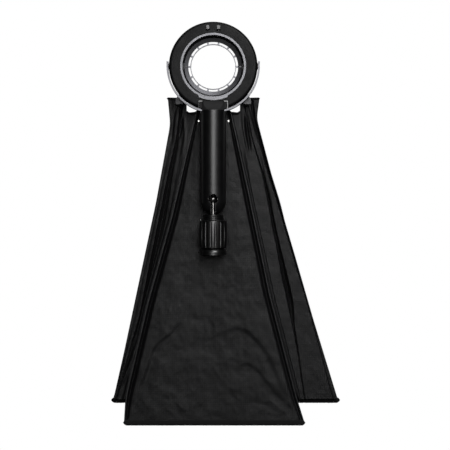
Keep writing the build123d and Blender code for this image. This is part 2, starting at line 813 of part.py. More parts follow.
with BuildPart() as knob_core:
    with BuildSketch(level(knob_end_z + knob_core_inset)):
        Circle(knob_core_r)
    extrude(amount=knob_top_z - knob_end_z - knob_core_inset)
    with BuildSketch(level(knob_end_z + knob_core_inset)):
        Circle(spigot_socket_r)
    extrude(amount=spigot_socket_depth, mode=Mode.SUBTRACT)
    with BuildSketch(level(knob_top_z)):
        Circle(rod_r + thread_gap)
    extrude(amount=-(rod_in_knob + rod_end_gap), mode=Mode.SUBTRACT)

# ---------------------------------------------------------------- hood



def edge_line(side, top, low, bows):
    """A panel's edge from its top to its hem, as X and Z; bows are how far it bends out, by height."""
    points = [top]
    for share, bow in bows:
        points.append((top[0] + share * (low[0] - top[0]) + bow, top[1] + share * (low[1] - top[1])))
    return [(side * x, z) for x, z in points + [low]]


front_low_z = front_end_z + hem_height
front_seam_left = edge_line(
    -1,
    (throat_half - 1, front_top_z),
    (front_hem_reach[0] - seam_inset, front_low_z),
    ((0.32, 2.3), (0.615, 7.8)),
)
front_seam_right = edge_line(
    1,
    (throat_half, front_top_z),
    (front_hem_reach[1] - seam_inset, front_low_z),
    ((0.225, 0.2), (0.586, -5.2)),
)
rear_edge_left = edge_line(
    -1, (ear_x, ear_top_z), (rear_hem_reach[0], gusset_low_z), ((0.084, -13.9), (0.347, -13.9))
)
rear_edge_right = edge_line(
    1, (ear_x, ear_top_z), (rear_hem_reach[1], gusset_low_z), ((0.063, -14.0), (0.302, -14.4))
)
throat = [
    (gather_x, gather_z),
    (throat_half, throat_z),
    (-throat_half, throat_z),
    (-gather_x, gather_z),
]

with BuildPart() as front_panel:
    with BuildSketch(facing(hood_front_y)):
        with BuildLine():
            Polyline(*front_seam_left, *reversed(front_seam_right), close=True)
        make_face()
    extrude(amount=-cloth)

with BuildPart() as rear_panel:
    with BuildSketch(facing(hood_back_y - cloth)):
        with BuildLine():
            Polyline(*rear_edge_left, *reversed(rear_edge_right), *throat, close=True)
        make_face()
    extrude(amount=-cloth)


gusset_seam_top = throat_half + 3.0
gusset_fold_top = ear_x - 4.5
gusset_edge_top = ear_x - 12.5
gusset_seam_inset = 10.5     # at the rear hem's height the front seam is that much nearer the middle
gusset_edge_inset = 14.0


def build_gusset(side, seam_low, fold_low, edge_low):
    """A side panel folded once outwards between the front and the rear panel, with its gathered top."""
    near = hood_front_y + cloth
    far = hood_back_y - cloth
    middle = (near + far) / 2
    with BuildPart() as gusset:
        for height, seam, fold, edge in (
            (gusset_top_z, gusset_seam_top, gusset_fold_top, gusset_edge_top),
            (gusset_low_z, seam_low, fold_low, edge_low),
        ):
            with BuildSketch(Plane.XY.offset(height)):
                with BuildLine():
                    Polyline(
                        (side * (seam + cloth), near),
                        (side * fold, middle),
                        (side * (edge + cloth), far),
                        (side * (edge - cloth), far),
                        (side * (fold - 3 * cloth), middle),
                        (side * (seam - cloth), near),
                        close=True,
                    )
                make_face()
        loft(ruled=True)
        with BuildSketch(facing(near)):
            with BuildLine():
                Polyline(
                    (side * (ear_x - 3), ear_top_z - 2),
                    (side * (gather_x - 6), gather_z - 2),
                    (side * throat_half, throat_z - 2),
                    (side * throat_half, gusset_top_z),
                    (side * (gusset_fold_top - 1), gusset_top_z),
                    close=True,
                )
            make_face()
        extrude(amount=-(far - near))
        with BuildSketch(facing(near + cloth)):
            with BuildLine():
                Polyline(
                    (side * (gather_x - 2), gusset_top_z),
                    (side * (gather_x - 9), gather_z - 7),
                    (side * (throat_half - cloth), throat_z),
                    (side * (throat_half - cloth), gusset_top_z),
                    close=True,
                )
            make_face()
        extrude(amount=-(far - near - 2 * cloth), mode=Mode.SUBTRACT)
    return gusset


left_seam_low = front_hem_reach[0] - gusset_seam_inset
right_seam_low = front_hem_reach[1] - gusset_seam_inset - cloth
left_edge_low = rear_hem_reach[0] - gusset_edge_inset
right_edge_low = rear_hem_reach[1] - gusset_edge_inset + cloth
left_gusset = build_gusset(-1, left_seam_low, rear_hem_reach[0] - 1.0, left_edge_low)
right_gusset = build_gusset(1, right_seam_low, rear_hem_reach[1] - 1.0, right_edge_low)

with BuildPart() as front_hem:
    with BuildSketch(facing(hood_front_y - (hem_thickness - cloth) / 2)):
        with Locations(((front_hem_reach[1] - front_hem_reach[0]) / 2, front_end_z)):
            Rectangle(sum(front_hem_reach), hem_height, align=(Align.CENTER, Align.MIN))
    extrude(amount=-hem_thickness)

with BuildPart() as rear_hem:
    with BuildSketch(facing(hood_back_y - cloth - (hem_thickness - cloth) / 2)):
        with Locations(((rear_hem_reach[1] - rear_hem_reach[0]) / 2, rear_end_z)):
            Rectangle(sum(rear_hem_reach), hem_height, align=(Align.CENTER, Align.MIN))
    extrude(amount=-hem_thickness)

binding_tip_x = throat_half + 22.0
binding_tip_z = throat_z + 14.0
with BuildPart() as front_binding:
    with BuildSketch(facing(hood_front_y)):
        with BuildLine():
            Polyline(
                (-binding_tip_x, binding_tip_z),
                (-throat_half, throat_z),
                (throat_half, throat_z),
                (binding_tip_x, binding_tip_z),
                (binding_tip_x, binding_tip_z - bound),
                (throat_half, throat_z - bound),
                (-throat_half, throat_z - bound),
                (-binding_tip_x, binding_tip_z - bound),
                close=True,
            )
        make_face()
    extrude(amount=-cloth)

with BuildPart() as rear_binding:
    with BuildSketch(facing(hood_back_y)):
        with BuildLine():
            Polyline(
                (-gather_x, gather_z),
                (-throat_half, throat_z),
                (throat_half, throat_z),
                (gather_x, gather_z),
                (gather_x, gather_z - bound),
                (throat_half, throat_z - bound),
                (-throat_half, throat_z - bound),
                (-gather_x, gather_z - bound),
                close=True,
            )
        make_face()
    extrude(amount=-cloth)

front_rod_y = hood_front_y + cloth + rod_radius
rear_rod_y = hood_back_y - cloth - rod_radius
rod_lines = []
for side, seam_low, edge_low in ((-1, left_seam_low, left_edge_low), (1, right_seam_low, right_edge_low)):
    for y, top_x, low_x, top_gap in (
        (front_rod_y, gusset_seam_top, seam_low, 2.0),
        (rear_rod_y, gusset_edge_top, edge_low, 4.0),
    ):
        top = (side * (top_x - rod_inset), y, gusset_top_z - top_gap)
        low = (side * (low_x - rod_inset), y, gusset_low_z + 2.0)
        rod_lines.append((top, low))
with BuildPart() as corner_rods:
    for top, low in rod_lines:
        run = Vector(*low) - Vector(*top)
        with BuildSketch(Plane(origin=top, z_dir=run)):
            Circle(rod_radius)
        extrude(amount=run.length)

with BuildPart() as seam_rivets:
    with BuildSketch(facing(hood_front_y - rivet_height)):
        with Locations((5 - throat_half, throat_z - 7), (throat_half - 4, throat_z - 7)):
            Circle(rivet_r)
    extrude(amount=-rivet_height)

with BuildPart() as hang_loops:
    for side in (-1, 1):
        with BuildSketch(Plane.YZ.offset(side * gather_x - loop_half)):
            with Locations((hood_axis_y, hood_axis_z)):
                Circle(loop_r)
            with Locations((hood_axis_y, hood_axis_z - loop_tail_drop)):
                Rectangle(
                    hood_front_y + cloth - hood_axis_y, loop_tail, align=(Align.MIN, Align.CENTER)
                )
            with Locations((hood_axis_y, hood_axis_z)):
                Circle(hook_bar_r + fit_gap, mode=Mode.SUBTRACT)
        extrude(amount=2 * loop_half)

# ---------------------------------------------------------------- export

pieces = {
    "handle_body": handle_body,
    "handle_foot": handle_foot,
    "foot_screws": foot_screws,
    "foot_pin": foot_pin,
    "yoke_band": yoke_band,
    "yoke_slot_filler": yoke_slot_filler,
    "yoke_screws": yoke_screws,
    "tilt_screws": tilt_screws,
    "tilt_nuts": tilt_nuts,
    "tilt_washers": tilt_washers,
    "front_shell": front_shell,
    "rear_shell": rear_shell,
    "shell_screws": shell_screws,
    "hook_screws": hook_screws,
    "lip_ring": lip_ring,
    "slip_ring": slip_ring,
    "tilt_bushes": tilt_bushes,
    "hood_hooks": hood_hooks,
    "catch_left": build_catch(-catch_x),
    "catch_right": build_catch(catch_x),
    "catch_spring_left": build_catch_spring(-catch_x),
    "catch_spring_right": build_catch_spring(catch_x),
    "adapter_ring": adapter_ring,
    "adapter_screws": adapter_screws,
    "swing_bolt": swing_bolt,
    "rod_stop": rod_stop,
    "pressure_cone": pressure_cone,
    "thrust_washer": thrust_washer,
    "knob_core": knob_core,
    "knob_grip": knob_grip,
    "knob_end_ring": knob_end_ring,
    "shoulder_ball": shoulder_ball,
    "front_panel": front_panel,
    "rear_panel": rear_panel,
    "left_gusset": left_gusset,
    "right_gusset": right_gusset,
    "front_hem": front_hem,
    "rear_hem": rear_hem,
    "front_binding": front_binding,
    "rear_binding": rear_binding,
    "corner_rods": corner_rods,
    "seam_rivets": seam_rivets,
    "hang_loops": hang_loops,
}
for name, piece in pieces.items():
    save(piece, name)
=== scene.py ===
import json
from math import cos, pi, sin, tau

import bpy
import numpy as np
from bpy.props import FloatProperty, FloatVectorProperty, PointerProperty
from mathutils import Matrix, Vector, noise


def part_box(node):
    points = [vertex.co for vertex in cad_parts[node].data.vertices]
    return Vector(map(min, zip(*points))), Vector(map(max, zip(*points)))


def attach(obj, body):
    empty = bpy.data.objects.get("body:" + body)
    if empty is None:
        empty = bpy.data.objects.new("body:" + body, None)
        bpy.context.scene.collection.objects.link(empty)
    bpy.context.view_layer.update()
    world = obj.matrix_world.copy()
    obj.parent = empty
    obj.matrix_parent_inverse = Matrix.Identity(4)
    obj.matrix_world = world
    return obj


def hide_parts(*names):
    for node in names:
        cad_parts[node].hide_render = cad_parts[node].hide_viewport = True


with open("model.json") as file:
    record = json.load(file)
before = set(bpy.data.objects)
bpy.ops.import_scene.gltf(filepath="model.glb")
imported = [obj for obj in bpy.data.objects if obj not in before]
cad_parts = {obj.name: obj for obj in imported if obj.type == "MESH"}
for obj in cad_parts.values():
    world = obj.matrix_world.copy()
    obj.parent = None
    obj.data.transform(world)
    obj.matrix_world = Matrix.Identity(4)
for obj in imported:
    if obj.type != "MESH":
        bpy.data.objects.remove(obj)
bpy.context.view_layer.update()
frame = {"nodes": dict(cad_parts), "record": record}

bl_info = {
    "name": "Collapsible snoot",
    "version": (1, 0, 0),
    "blender": (4, 5, 0),
    "location": "View3D > Sidebar > Snoot",
    "description": "Cloth hood, trim, finishes and stage for a snoot head on a hand grip",
    "category": "Object",
}

MM = 0.001
SLOTS = {part["node"]: part["material_slot"] for part in frame["record"]["subparts"]}


# ------------------------------------------------------------------ places taken from the frame


def box_mm(node):
    """The lowest and the highest corner of a CAD node, in millimetres."""
    low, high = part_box(node)
    return low / MM, high / MM


FRONT_LOW, FRONT_HIGH = box_mm("front_panel")
REAR_LOW, REAR_HIGH = box_mm("rear_panel")
FRONT_Y = (FRONT_LOW.y + FRONT_HIGH.y) / 2
REAR_Y = (REAR_LOW.y + REAR_HIGH.y) / 2
BINDING = 4.0            # width of the binding tapes
LAYER_GAP = 0.4          # between the flat panels and the folded gussets
GUSSET_FRONT_Y = FRONT_HIGH.y + LAYER_GAP
GUSSET_REAR_Y = REAR_LOW.y - LAYER_GAP
THROAT_Z = FRONT_HIGH.z + BINDING
LOOP_RADIUS = 3.0
LOOP_X = box_mm("hang_loops")[1].x - LOOP_RADIUS
LOOP_Z = box_mm("hang_loops")[1].z - LOOP_RADIUS
EAR_Z = REAR_HIGH.z
HEM_LAP = 5.5            # how far the cloth runs down into the hem tapes
FRONT_END_Z = FRONT_LOW.z - HEM_LAP
REAR_END_Z = REAR_LOW.z - HEM_LAP
TAPE_OVERHANG = 2.0      # how far the hem tapes run past the cloth on each side
THROAT_X = 30.0          # half the width of the opening at the top of the front panel
GATHER_X = 46.0          # where the gussets are drawn together, beside the hooks
GATHER_Z = -76.5
GATHER_TOP_Z = EAR_Z + 4.0
PANEL_TOP_Z = THROAT_Z + 9.0

# Seams and edges of the hood in its own upright plane, as X and Z from the top down.
LEFT_SEAM = (
    (-29.0, PANEL_TOP_Z), (-70.7, -252.0), (-112.4, -403.0), (-149.5, -563.0),
    (FRONT_LOW.x, FRONT_END_Z))
RIGHT_SEAM = (
    (30.0, PANEL_TOP_Z), (58.3, -203.0), (96.5, -388.0), (141.8, -563.0),
    (FRONT_HIGH.x, FRONT_END_Z))
LEFT_EDGE = (
    (-78.5, EAR_Z), (-74.5, -95.0), (-99.0, -229.0), (-127.5, -362.0), (-154.0, -487.0),
    (-172.0, REAR_END_Z))
RIGHT_EDGE = (
    (79.5, EAR_Z), (75.0, -85.0), (107.0, -206.0), (141.8, -324.0), (172.2, -430.0),
    (214.0, REAR_END_Z))


# ------------------------------------------------------------------ settings


def linear(code):
    """An sRGB hex colour as linear RGBA."""
    colour = []
    for i in (1, 3, 5):
        channel = int(code[i:i + 2], 16) / 255
        colour.append(channel / 12.92 if channel <= 0.04045 else ((channel + 0.055) / 1.055) ** 2.4)
    return tuple(colour) + (1.0,)


class SnootHoodSettings(bpy.types.PropertyGroup):
    """Sizes of the cloth hood and its trim."""

    mesh_step: FloatProperty(
        name="Mesh step", description="Distance between the cloth's mesh points",
        default=2.2 * MM, min=1.0 * MM, unit="LENGTH")
    rumple: FloatProperty(
        name="Rumple", description="Height of the small random waves in the cloth",
        default=0.45 * MM, unit="LENGTH")
    piping_radius: FloatProperty(
        name="Piping radius", description="Radius of the piping in the front seams",
        default=1.1 * MM, unit="LENGTH")


class SnootColourSettings(bpy.types.PropertyGroup):
    """Colours of the main finishes, as linear RGB."""

    cloth: FloatVectorProperty(
        name="Cloth", description="Coated ripstop nylon of the hood",
        subtype="COLOR", size=4, default=linear("#0c0c0d"))
    # The darker cloth colour goes between the raised threads as painted shade, and into random
    # clouds.
    cloth_shade_and_tone: FloatVectorProperty(
        name="Cloth shade", description="Darker threads of the hood's cloth",
        subtype="COLOR", size=4, default=linear("#030304"))
    housing: FloatVectorProperty(
        name="Housing", description="Spark-textured ABS of the ring",
        subtype="COLOR", size=4, default=linear("#0d0d0e"))
    housing_deep: FloatVectorProperty(
        name="Housing shade", description="Darker patches of the ring's ABS",
        subtype="COLOR", size=4, default=linear("#070708"))
    grip: FloatVectorProperty(
        name="Grip", description="Powder coat of the grip",
        subtype="COLOR", size=4, default=linear("#0a0a0b"))
    grip_deep: FloatVectorProperty(
        name="Grip shade", description="Worn powder coat of the grip",
        subtype="COLOR", size=4, default=linear("#040405"))
    silver: FloatVectorProperty(
        name="Silver", description="Clear anodised aluminium of the lip ring and the yoke",
        subtype="COLOR", size=4, default=linear("#6c6c6f"))
    adapter: FloatVectorProperty(
        name="Adapter", description="Blasted aluminium of the adapter ring",
        subtype="COLOR", size=4, default=linear("#7c7c80"))


class SnootStageSettings(bpy.types.PropertyGroup):
    """Camera and floor."""

    camera_distance: FloatProperty(
        name="Camera distance", description="From the camera to the lamp bore's plane",
        default=3.0, unit="LENGTH")
    view_width: FloatProperty(
        name="View width", description="Width of the view at the object",
        default=0.765, unit="LENGTH")
    camera_x: FloatProperty(
        name="Camera X", description="The camera's place to the right of the lamp bore",
        default=0.020, unit="LENGTH")
    camera_z: FloatProperty(
        name="Camera Z", description="The camera's height above the lamp bore",
        default=-0.269, unit="LENGTH")
    floor_z: FloatProperty(
        name="Floor height", description="Height of the floor", default=-0.95, unit="LENGTH")


# ------------------------------------------------------------------ materials


def add(tree, kind, links=None, **settings):
    """Adds a node with its settings, and links its inputs to the given sockets."""
    node = tree.nodes.new(kind)
    for key, value in settings.items():
        setattr(node, key, value)
    for key, value in (links or {}).items():
        if isinstance(value, bpy.types.NodeSocket):
            tree.links.new(value, node.inputs[key])
        else:
            node.inputs[key].default_value = value
    return node


def new_material(name, colour, roughness, **inputs):
    """A Principled material; returns it with its tree, its shader and object coordinates.
    The colour and the roughness stand until a pattern is linked over them."""
    material = bpy.data.materials.new(name)
    material.use_nodes = True
    tree = material.node_tree
    shader = tree.nodes["Principled BSDF"]
    shader.inputs["Base Color"].default_value = linear(colour)
    shader.inputs["Roughness"].default_value = roughness
    for key, value in inputs.items():
        shader.inputs[key.replace("_", " ")].default_value = value
    place = add(tree, "ShaderNodeTexCoord").outputs["Object"]
    return material, tree, shader, place


def per_mm(size):
    """The texture scale that makes a feature of that size in millimetres."""
    return 1.0 / (size * MM)


def grain(tree, place, size, detail=2.0, rough=0.5):
    """Random grain of a size in millimetres, as a 0 to 1 socket."""
    return add(tree, "ShaderNodeTexNoise", {
        "Vector": place, "Scale": per_mm(size), "Detail": detail, "Roughness": rough,
    }).outputs["Fac"]


def spread(tree, value, low, high, from_low=0.35, from_high=0.65):
    """Maps a 0 to 1 socket to another range."""
    return add(tree, "ShaderNodeMapRange", {
        "Value": value, "From Min": from_low, "From Max": from_high, "To Min": low, "To Max": high,
    }).outputs["Result"]


def bump(tree, shader, height, depth, strength=1.0):
    """Gives the shader's normal a relief of that depth in millimetres."""
    skin = add(tree, "ShaderNodeBump", {
        "Height": height, "Distance": depth * MM, "Strength": strength})
    tree.links.new(skin.outputs["Normal"], shader.inputs["Normal"])


FINISHES = {}


def finish_of(slot_name):
    """The material of one of the record's slots, made once."""
    return FINISHES[slot_name]


def mix_colours(tree, factor, first, second):
    """A socket that blends two colours, given as sRGB hex or as linear RGBA."""
    node = add(tree, "ShaderNodeMix", data_type="RGBA")
    tree.links.new(factor, node.inputs[0])
    for place, colour in ((6, first), (7, second)):
        node.inputs[place].default_value = linear(colour) if isinstance(colour, str) else colour
    return node.outputs[2]


def pebbled_paint(head_z):
    """Black powder coat on a die-cast grip: a fine pebbled skin that spreads the highlight.
    The scooped head above the given height is matt, and throws no glare into the lamp."""
    colours = bpy.context.scene.snoot_colours
    material, tree, shader, place = new_material(
        "black pebbled powder coat", "#070708", 0.35, Specular_IOR_Level=0.75)
    pebbles = add(tree, "ShaderNodeTexVoronoi", {"Vector": place, "Scale": per_mm(0.9)},
                  feature="SMOOTH_F1").outputs["Distance"]
    wear = grain(tree, place, 14.0, 3.0)
    height = add(tree, "ShaderNodeSeparateXYZ", {"Vector": place}).outputs["Z"]
    blur = 0.3 * MM
    head = spread(tree, height, 0.0, 0.5, head_z - blur, head_z + blur)
    polish = spread(tree, wear, 0.33, 0.37)
    roughness = add(tree, "ShaderNodeMath", {0: polish, 1: head}, operation="ADD").outputs[0]
    paint = mix_colours(tree, wear, colours.grip_deep, colours.grip)
    tree.links.new(roughness, shader.inputs["Roughness"])
    tree.links.new(paint, shader.inputs["Base Color"])
    bump(tree, shader, pebbles, 0.05, 0.5)
    return material


def textured_abs():
    """Black ABS moulded against a spark-eroded tool: an even fine grain, nearly matt."""
    colours = bpy.context.scene.snoot_colours
    material, tree, shader, place = new_material(
        "black spark-textured ABS", "#0b0b0c", 0.5, Specular_IOR_Level=0.16)
    fine = grain(tree, place, 0.55, 2.0)
    broad = grain(tree, place, 22.0, 3.0)
    blended_colour = mix_colours(tree, broad, colours.housing_deep, colours.housing)
    tree.links.new(blended_colour, shader.inputs["Base Color"])
    tree.links.new(spread(tree, broad, 0.42, 0.52), shader.inputs["Roughness"])
    bump(tree, shader, fine, 0.16, 0.8)
    return material


def plain_plastic(name, dark, light, roughness):
    """Moulded nylon: satin, with a faint flow pattern."""
    material, tree, shader, place = new_material(name, dark, roughness)
    flow = grain(tree, place, 6.0, 3.0)
    tree.links.new(mix_colours(tree, flow, dark, light), shader.inputs["Base Color"])
    gloss = spread(tree, flow, roughness - 0.05, roughness + 0.07)
    tree.links.new(gloss, shader.inputs["Roughness"])
    bump(tree, shader, grain(tree, place, 0.4), 0.03, 0.5)
    return material


def moulded_knob():
    """Black glass-filled nylon, polished by hands on its ridges."""
    material, tree, shader, place = new_material(
        "black glass-filled nylon", "#101011", 0.36, Specular_IOR_Level=0.8)
    wear = grain(tree, place, 3.5, 4.0)
    tree.links.new(mix_colours(tree, wear, "#030303", "#080809"), shader.inputs["Base Color"])
    tree.links.new(spread(tree, wear, 0.29, 0.35), shader.inputs["Roughness"])
    bump(tree, shader, grain(tree, place, 0.9), 0.02, 0.4)
    return material


def anodised(name, colour, roughness, grit, depth):
    """Clear anodised aluminium, blasted or brushed: a soft metal sheen in faint cloudy shades.
    The grit is the size of its marks and the depth their relief, both in millimetres."""
    material, tree, shader, place = new_material(name, "#6c6c6f", roughness, Metallic=1.0)
    light = tuple(colour)
    dark = tuple(0.8 * c for c in light[:3]) + (1.0,)
    speck = grain(tree, place, grit, 2.0)
    broad = grain(tree, place, 18.0, 2.0)
    tree.links.new(mix_colours(tree, broad, dark, light), shader.inputs["Base Color"])
    gloss = spread(tree, speck, roughness - 0.06, roughness + 0.08)
    tree.links.new(gloss, shader.inputs["Roughness"])
    bump(tree, shader, speck, depth, 0.5)
    return material


def adapter_finish(colour, cone_radius):
    """Bead-blasted anodised aluminium: an even grey sheen with no mirror in it.
    The flange outside its cone is near black: partly dark anodising, partly painted shade of the
    shadowed gap between the lip and the cone."""
    material = anodised("bead-blasted anodised aluminium", colour, 0.46, 0.5, 0.04)
    tree = material.node_tree
    shader = tree.nodes["Principled BSDF"]
    metal = shader.inputs["Base Color"].links[0].from_socket
    place = add(tree, "ShaderNodeTexCoord").outputs["Object"]
    axes = add(tree, "ShaderNodeSeparateXYZ", {"Vector": place})
    flat = add(tree, "ShaderNodeCombineXYZ", {"X": axes.outputs["X"], "Z": axes.outputs["Z"]})
    radius = add(tree, "ShaderNodeVectorMath", {0: flat.outputs[0]},
                 operation="LENGTH").outputs["Value"]
    outside = add(tree, "ShaderNodeMath", {0: radius, 1: cone_radius},
                  operation="GREATER_THAN").outputs[0]
    # Near black outside the cone: partly dark anodising, partly painted shade of the gap between
    # the lip and the cone.
    paint = mix_colours(tree, outside, "#000000", "#050506")
    both = add(tree, "ShaderNodeMix", {0: outside, 6: metal, 7: paint}, data_type="RGBA")
    tree.links.new(both.outputs[2], shader.inputs["Base Color"])
    return material


def turned_metal(name, dark, light, roughness):
    """Turned steel or brass: bright, with fine rings that only break up the highlight."""
    material, tree, shader, place = new_material(name, dark, roughness, Metallic=1.0)
    rings = add(tree, "ShaderNodeTexWave", {
        "Vector": place, "Scale": per_mm(2.5), "Distortion": 1.5, "Detail": 2.0,
    }, bands_direction="Z").outputs["Fac"]
    stain = grain(tree, place, 5.0, 3.0)
    tree.links.new(mix_colours(tree, stain, dark, light), shader.inputs["Base Color"])
    gloss = spread(tree, stain, roughness - 0.05, roughness + 0.08)
    tree.links.new(gloss, shader.inputs["Roughness"])
    bump(tree, shader, rings, 0.01, 0.4)
    return material


def threads(tree, place, pitch, direction):
    """Ridges of that pitch in millimetres across one axis of the cloth."""
    return add(tree, "ShaderNodeTexWave", {
        "Vector": place, "Scale": per_mm(pitch) / 2, "Distortion": 0.25, "Detail": 1.0,
        "Detail Scale": 2.0,
    }, bands_direction=direction, wave_profile="SIN").outputs["Fac"]


def ripstop():
    """Black coated ripstop nylon: a dull sheen, fine weft ribs and a raised square grid.
    Its real threads are a tenth of a millimetre, so the ribs are drawn 1.7 mm apart."""
    material, tree, shader, place = new_material(
        "black coated ripstop nylon", "#0a0a0b", 0.42,
        Specular_IOR_Level=0.22, Sheen_Weight=0.02, Sheen_Roughness=0.4)
    colours = bpy.context.scene.snoot_colours
    pitch = 1.7
    grid_pitch = 3 * pitch
    weft = threads(tree, place, pitch, "Z")
    warp = threads(tree, place, pitch, "X")
    ribs = [
        add(tree, "ShaderNodeMath", {0: threads(tree, place, grid_pitch, way), 1: 10.0},
            operation="POWER").outputs[0]
        for way in ("Z", "X")
    ]
    grid = add(tree, "ShaderNodeMath", {0: ribs[0], 1: ribs[1]}, operation="MAXIMUM").outputs[0]
    soft_warp = add(tree, "ShaderNodeMath", {0: warp, 1: 0.35}, operation="MULTIPLY").outputs[0]
    weave = add(tree, "ShaderNodeMath", {0: weft, 1: 0.65, 2: soft_warp},
                operation="MULTIPLY_ADD").outputs[0]
    height = add(tree, "ShaderNodeMath", {0: grid, 1: 0.8, 2: weave},
                 operation="MULTIPLY_ADD").outputs[0]
    broad = grain(tree, place, 40.0, 4.0, 0.55)
    fine = grain(tree, place, 5.0, 3.0)
    clouds = add(tree, "ShaderNodeMath", {0: broad, 1: 0.5}, operation="MULTIPLY").outputs[0]
    # The colour follows the weave's relief: lighter on the raised threads and grid, darker between
    # them, as painted light and shade; the broad clouds are random tone.
    shade = add(tree, "ShaderNodeMath", {0: height, 1: 0.35, 2: clouds},
                operation="MULTIPLY_ADD").outputs[0]
    blended_colour = mix_colours(tree, shade, colours.cloth_shade_and_tone, colours.cloth)
    tree.links.new(blended_colour, shader.inputs["Base Color"])
    tree.links.new(spread(tree, fine, 0.36, 0.47), shader.inputs["Roughness"])
    bump(tree, shader, height, 0.10, 0.7)
    return material


def glazed_piping():
    """Black coated cord under the seams: its calendered coat catches a thin bright line, and its
    colour is a lighter grey than the cloth as a painted highlight.
    """
    material, tree, shader, place = new_material(
        "black calendered piping", "#2a2a2b", 0.34, Specular_IOR_Level=0.6)
    highlight_grain = grain(tree, place, 4.0, 3.0)
    # Grey colours in random patches: a painted highlight along the piping, on top of the coat's
    # real sheen.
    tree.links.new(mix_colours(tree, highlight_grain, "#1a1a1b", "#323233"), shader.inputs["Base Color"])
    tree.links.new(spread(tree, highlight_grain, 0.28, 0.42), shader.inputs["Roughness"])
    bump(tree, shader, threads(tree, place, 1.4, "Z"), 0.05, 0.5)
    return material


def woven_tape():
    """Black woven binding tape: dull, with a clear rib along it."""
    material, tree, shader, place = new_material(
        "black woven tape", "#0e0e0f", 0.75, Specular_IOR_Level=0.2)
    ribs = threads(tree, place, 1.4, "X")
    fine = grain(tree, place, 1.0, 2.0)
    tree.links.new(mix_colours(tree, fine, "#050506", "#0c0c0d"), shader.inputs["Base Color"])
    height = add(tree, "ShaderNodeMath", {0: ribs, 1: fine}, operation="ADD").outputs[0]
    bump(tree, shader, height, 0.15, 0.8)
    return material


def loop_pile():
    """Brushed nylon loop tape: a fuzzy pile with no highlight."""
    material, tree, shader, place = new_material(
        "black brushed loop tape", "#121213", 0.9,
        Specular_IOR_Level=0.2, Sheen_Weight=0.05, Sheen_Roughness=0.6)
    pile = grain(tree, place, 1.3, 5.0, 0.7)
    tree.links.new(mix_colours(tree, pile, "#050505", "#1a1a1b"), shader.inputs["Base Color"])
    bump(tree, shader, pile, 0.7, 1.0)
    return material


def make_finishes():
    """One material for each of the record's slots."""
    colours = bpy.context.scene.snoot_colours
    scoop_height = 18.0 * MM
    flange_width = 2.2 * MM
    FINISHES.update({
        "grip_paint": pebbled_paint(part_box("handle_body")[1].z - scoop_height),
        "housing": textured_abs(),
        "black_plastic": plain_plastic("black moulded nylon", "#101011", "#1a1a1b", 0.45),
        "grey_plastic": plain_plastic("light grey moulded ABS", "#6f6f70", "#808081", 0.42),
        "knob_plastic": moulded_knob(),
        "silver": anodised("satin clear anodised aluminium", colours.silver, 0.36, 0.8, 0.02),
        "adapter_grey": adapter_finish(colours.adapter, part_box("slip_ring")[1].x - flange_width),
        "steel": turned_metal("bright turned steel", "#8f8e8c", "#a2a19f", 0.26),
        "dark_steel": turned_metal("blackened steel", "#3a3a3b", "#4b4b4c", 0.40),
        "brass": turned_metal("oil-soaked sintered bronze", "#3c352a", "#4a4133", 0.45),
        "ripstop": ripstop(),
        "piping": glazed_piping(),
        "binding": woven_tape(),
        "loop_tape": loop_pile(),
    })


# ------------------------------------------------------------------ mesh helpers


def make_piece(name, points, faces, slot_name):
    """A smooth-shaded mesh in millimetres that rides on the hood and takes a slot's finish."""
    mesh = bpy.data.meshes.new(name)
    mesh.from_pydata([tuple(c * MM for c in p) for p in points], [], faces)
    mesh.materials.append(finish_of(slot_name))
    mesh.polygons.foreach_set("use_smooth", [True] * len(mesh.polygons))
    mesh.update()
    piece = bpy.data.objects.new(name, mesh)
    bpy.context.scene.collection.objects.link(piece)
    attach(piece, "hood")
    return piece


def grid_faces(rows, columns, closed=False):
    """The quads of a grid of rows by columns; closed joins the last column to the first."""
    last = columns if closed else columns - 1
    faces = []
    for start in range(0, (rows - 1) * columns, columns):
        for c in range(last):
            after = (c + 1) % columns
            below = start + columns
            faces.append((start + c, start + after, below + after, below + c))
    return faces


def soft_line(points, count):
    """Points evenly spaced in height along a smooth line through the given ones."""
    points = np.array(points, float)
    wanted = np.linspace(points[0, -1], points[-1, -1], count)
    heights = -points[:, -1]
    fine = np.stack([np.interp(-wanted, heights, column) for column in points.T], axis=1)
    window = max(3, count // 14)
    kernel = np.hanning(window + 2)[1:-1]
    kernel /= kernel.sum()
    half = window // 2
    smooth = fine.copy()
    for k in range(points.shape[1] - 1):
        start, end = fine[0, k], fine[-1, k]
        lead = start - (fine[1:half + 1, k][::-1] - start)
        tail = end - (fine[-half - 1:-1, k][::-1] - end)
        longer = np.concatenate([lead, fine[:, k], tail])
        smooth[:, k] = np.convolve(longer, kernel, "same")[half:half + count]
    smooth[0], smooth[-1] = fine[0], fine[-1]
    return smooth


def pleated(folds, step, rows, rounding=2):
    """A sheet through fold lines, as rows by columns by 3.
    Each fold line is given as points (X, Y, Z) from its top to its hem."""
    lines = [soft_line(fold, rows) for fold in folds]
    columns = []
    for first, second in zip(lines, lines[1:]):
        width = np.linalg.norm(second - first, axis=1).max()
        count = max(2, int(round(width / step)))
        columns.append([first + (second - first) * (i / count) for i in range(count)])
    sheet = np.stack([line for group in columns for line in group] + [lines[-1]], axis=1)
    for _ in range(rounding):
        middle = sheet[:, 1:-1] * 0.5 + (sheet[:, :-2] + sheet[:, 2:]) * 0.25
        sheet[:, 1:-1] = middle
    return sheet


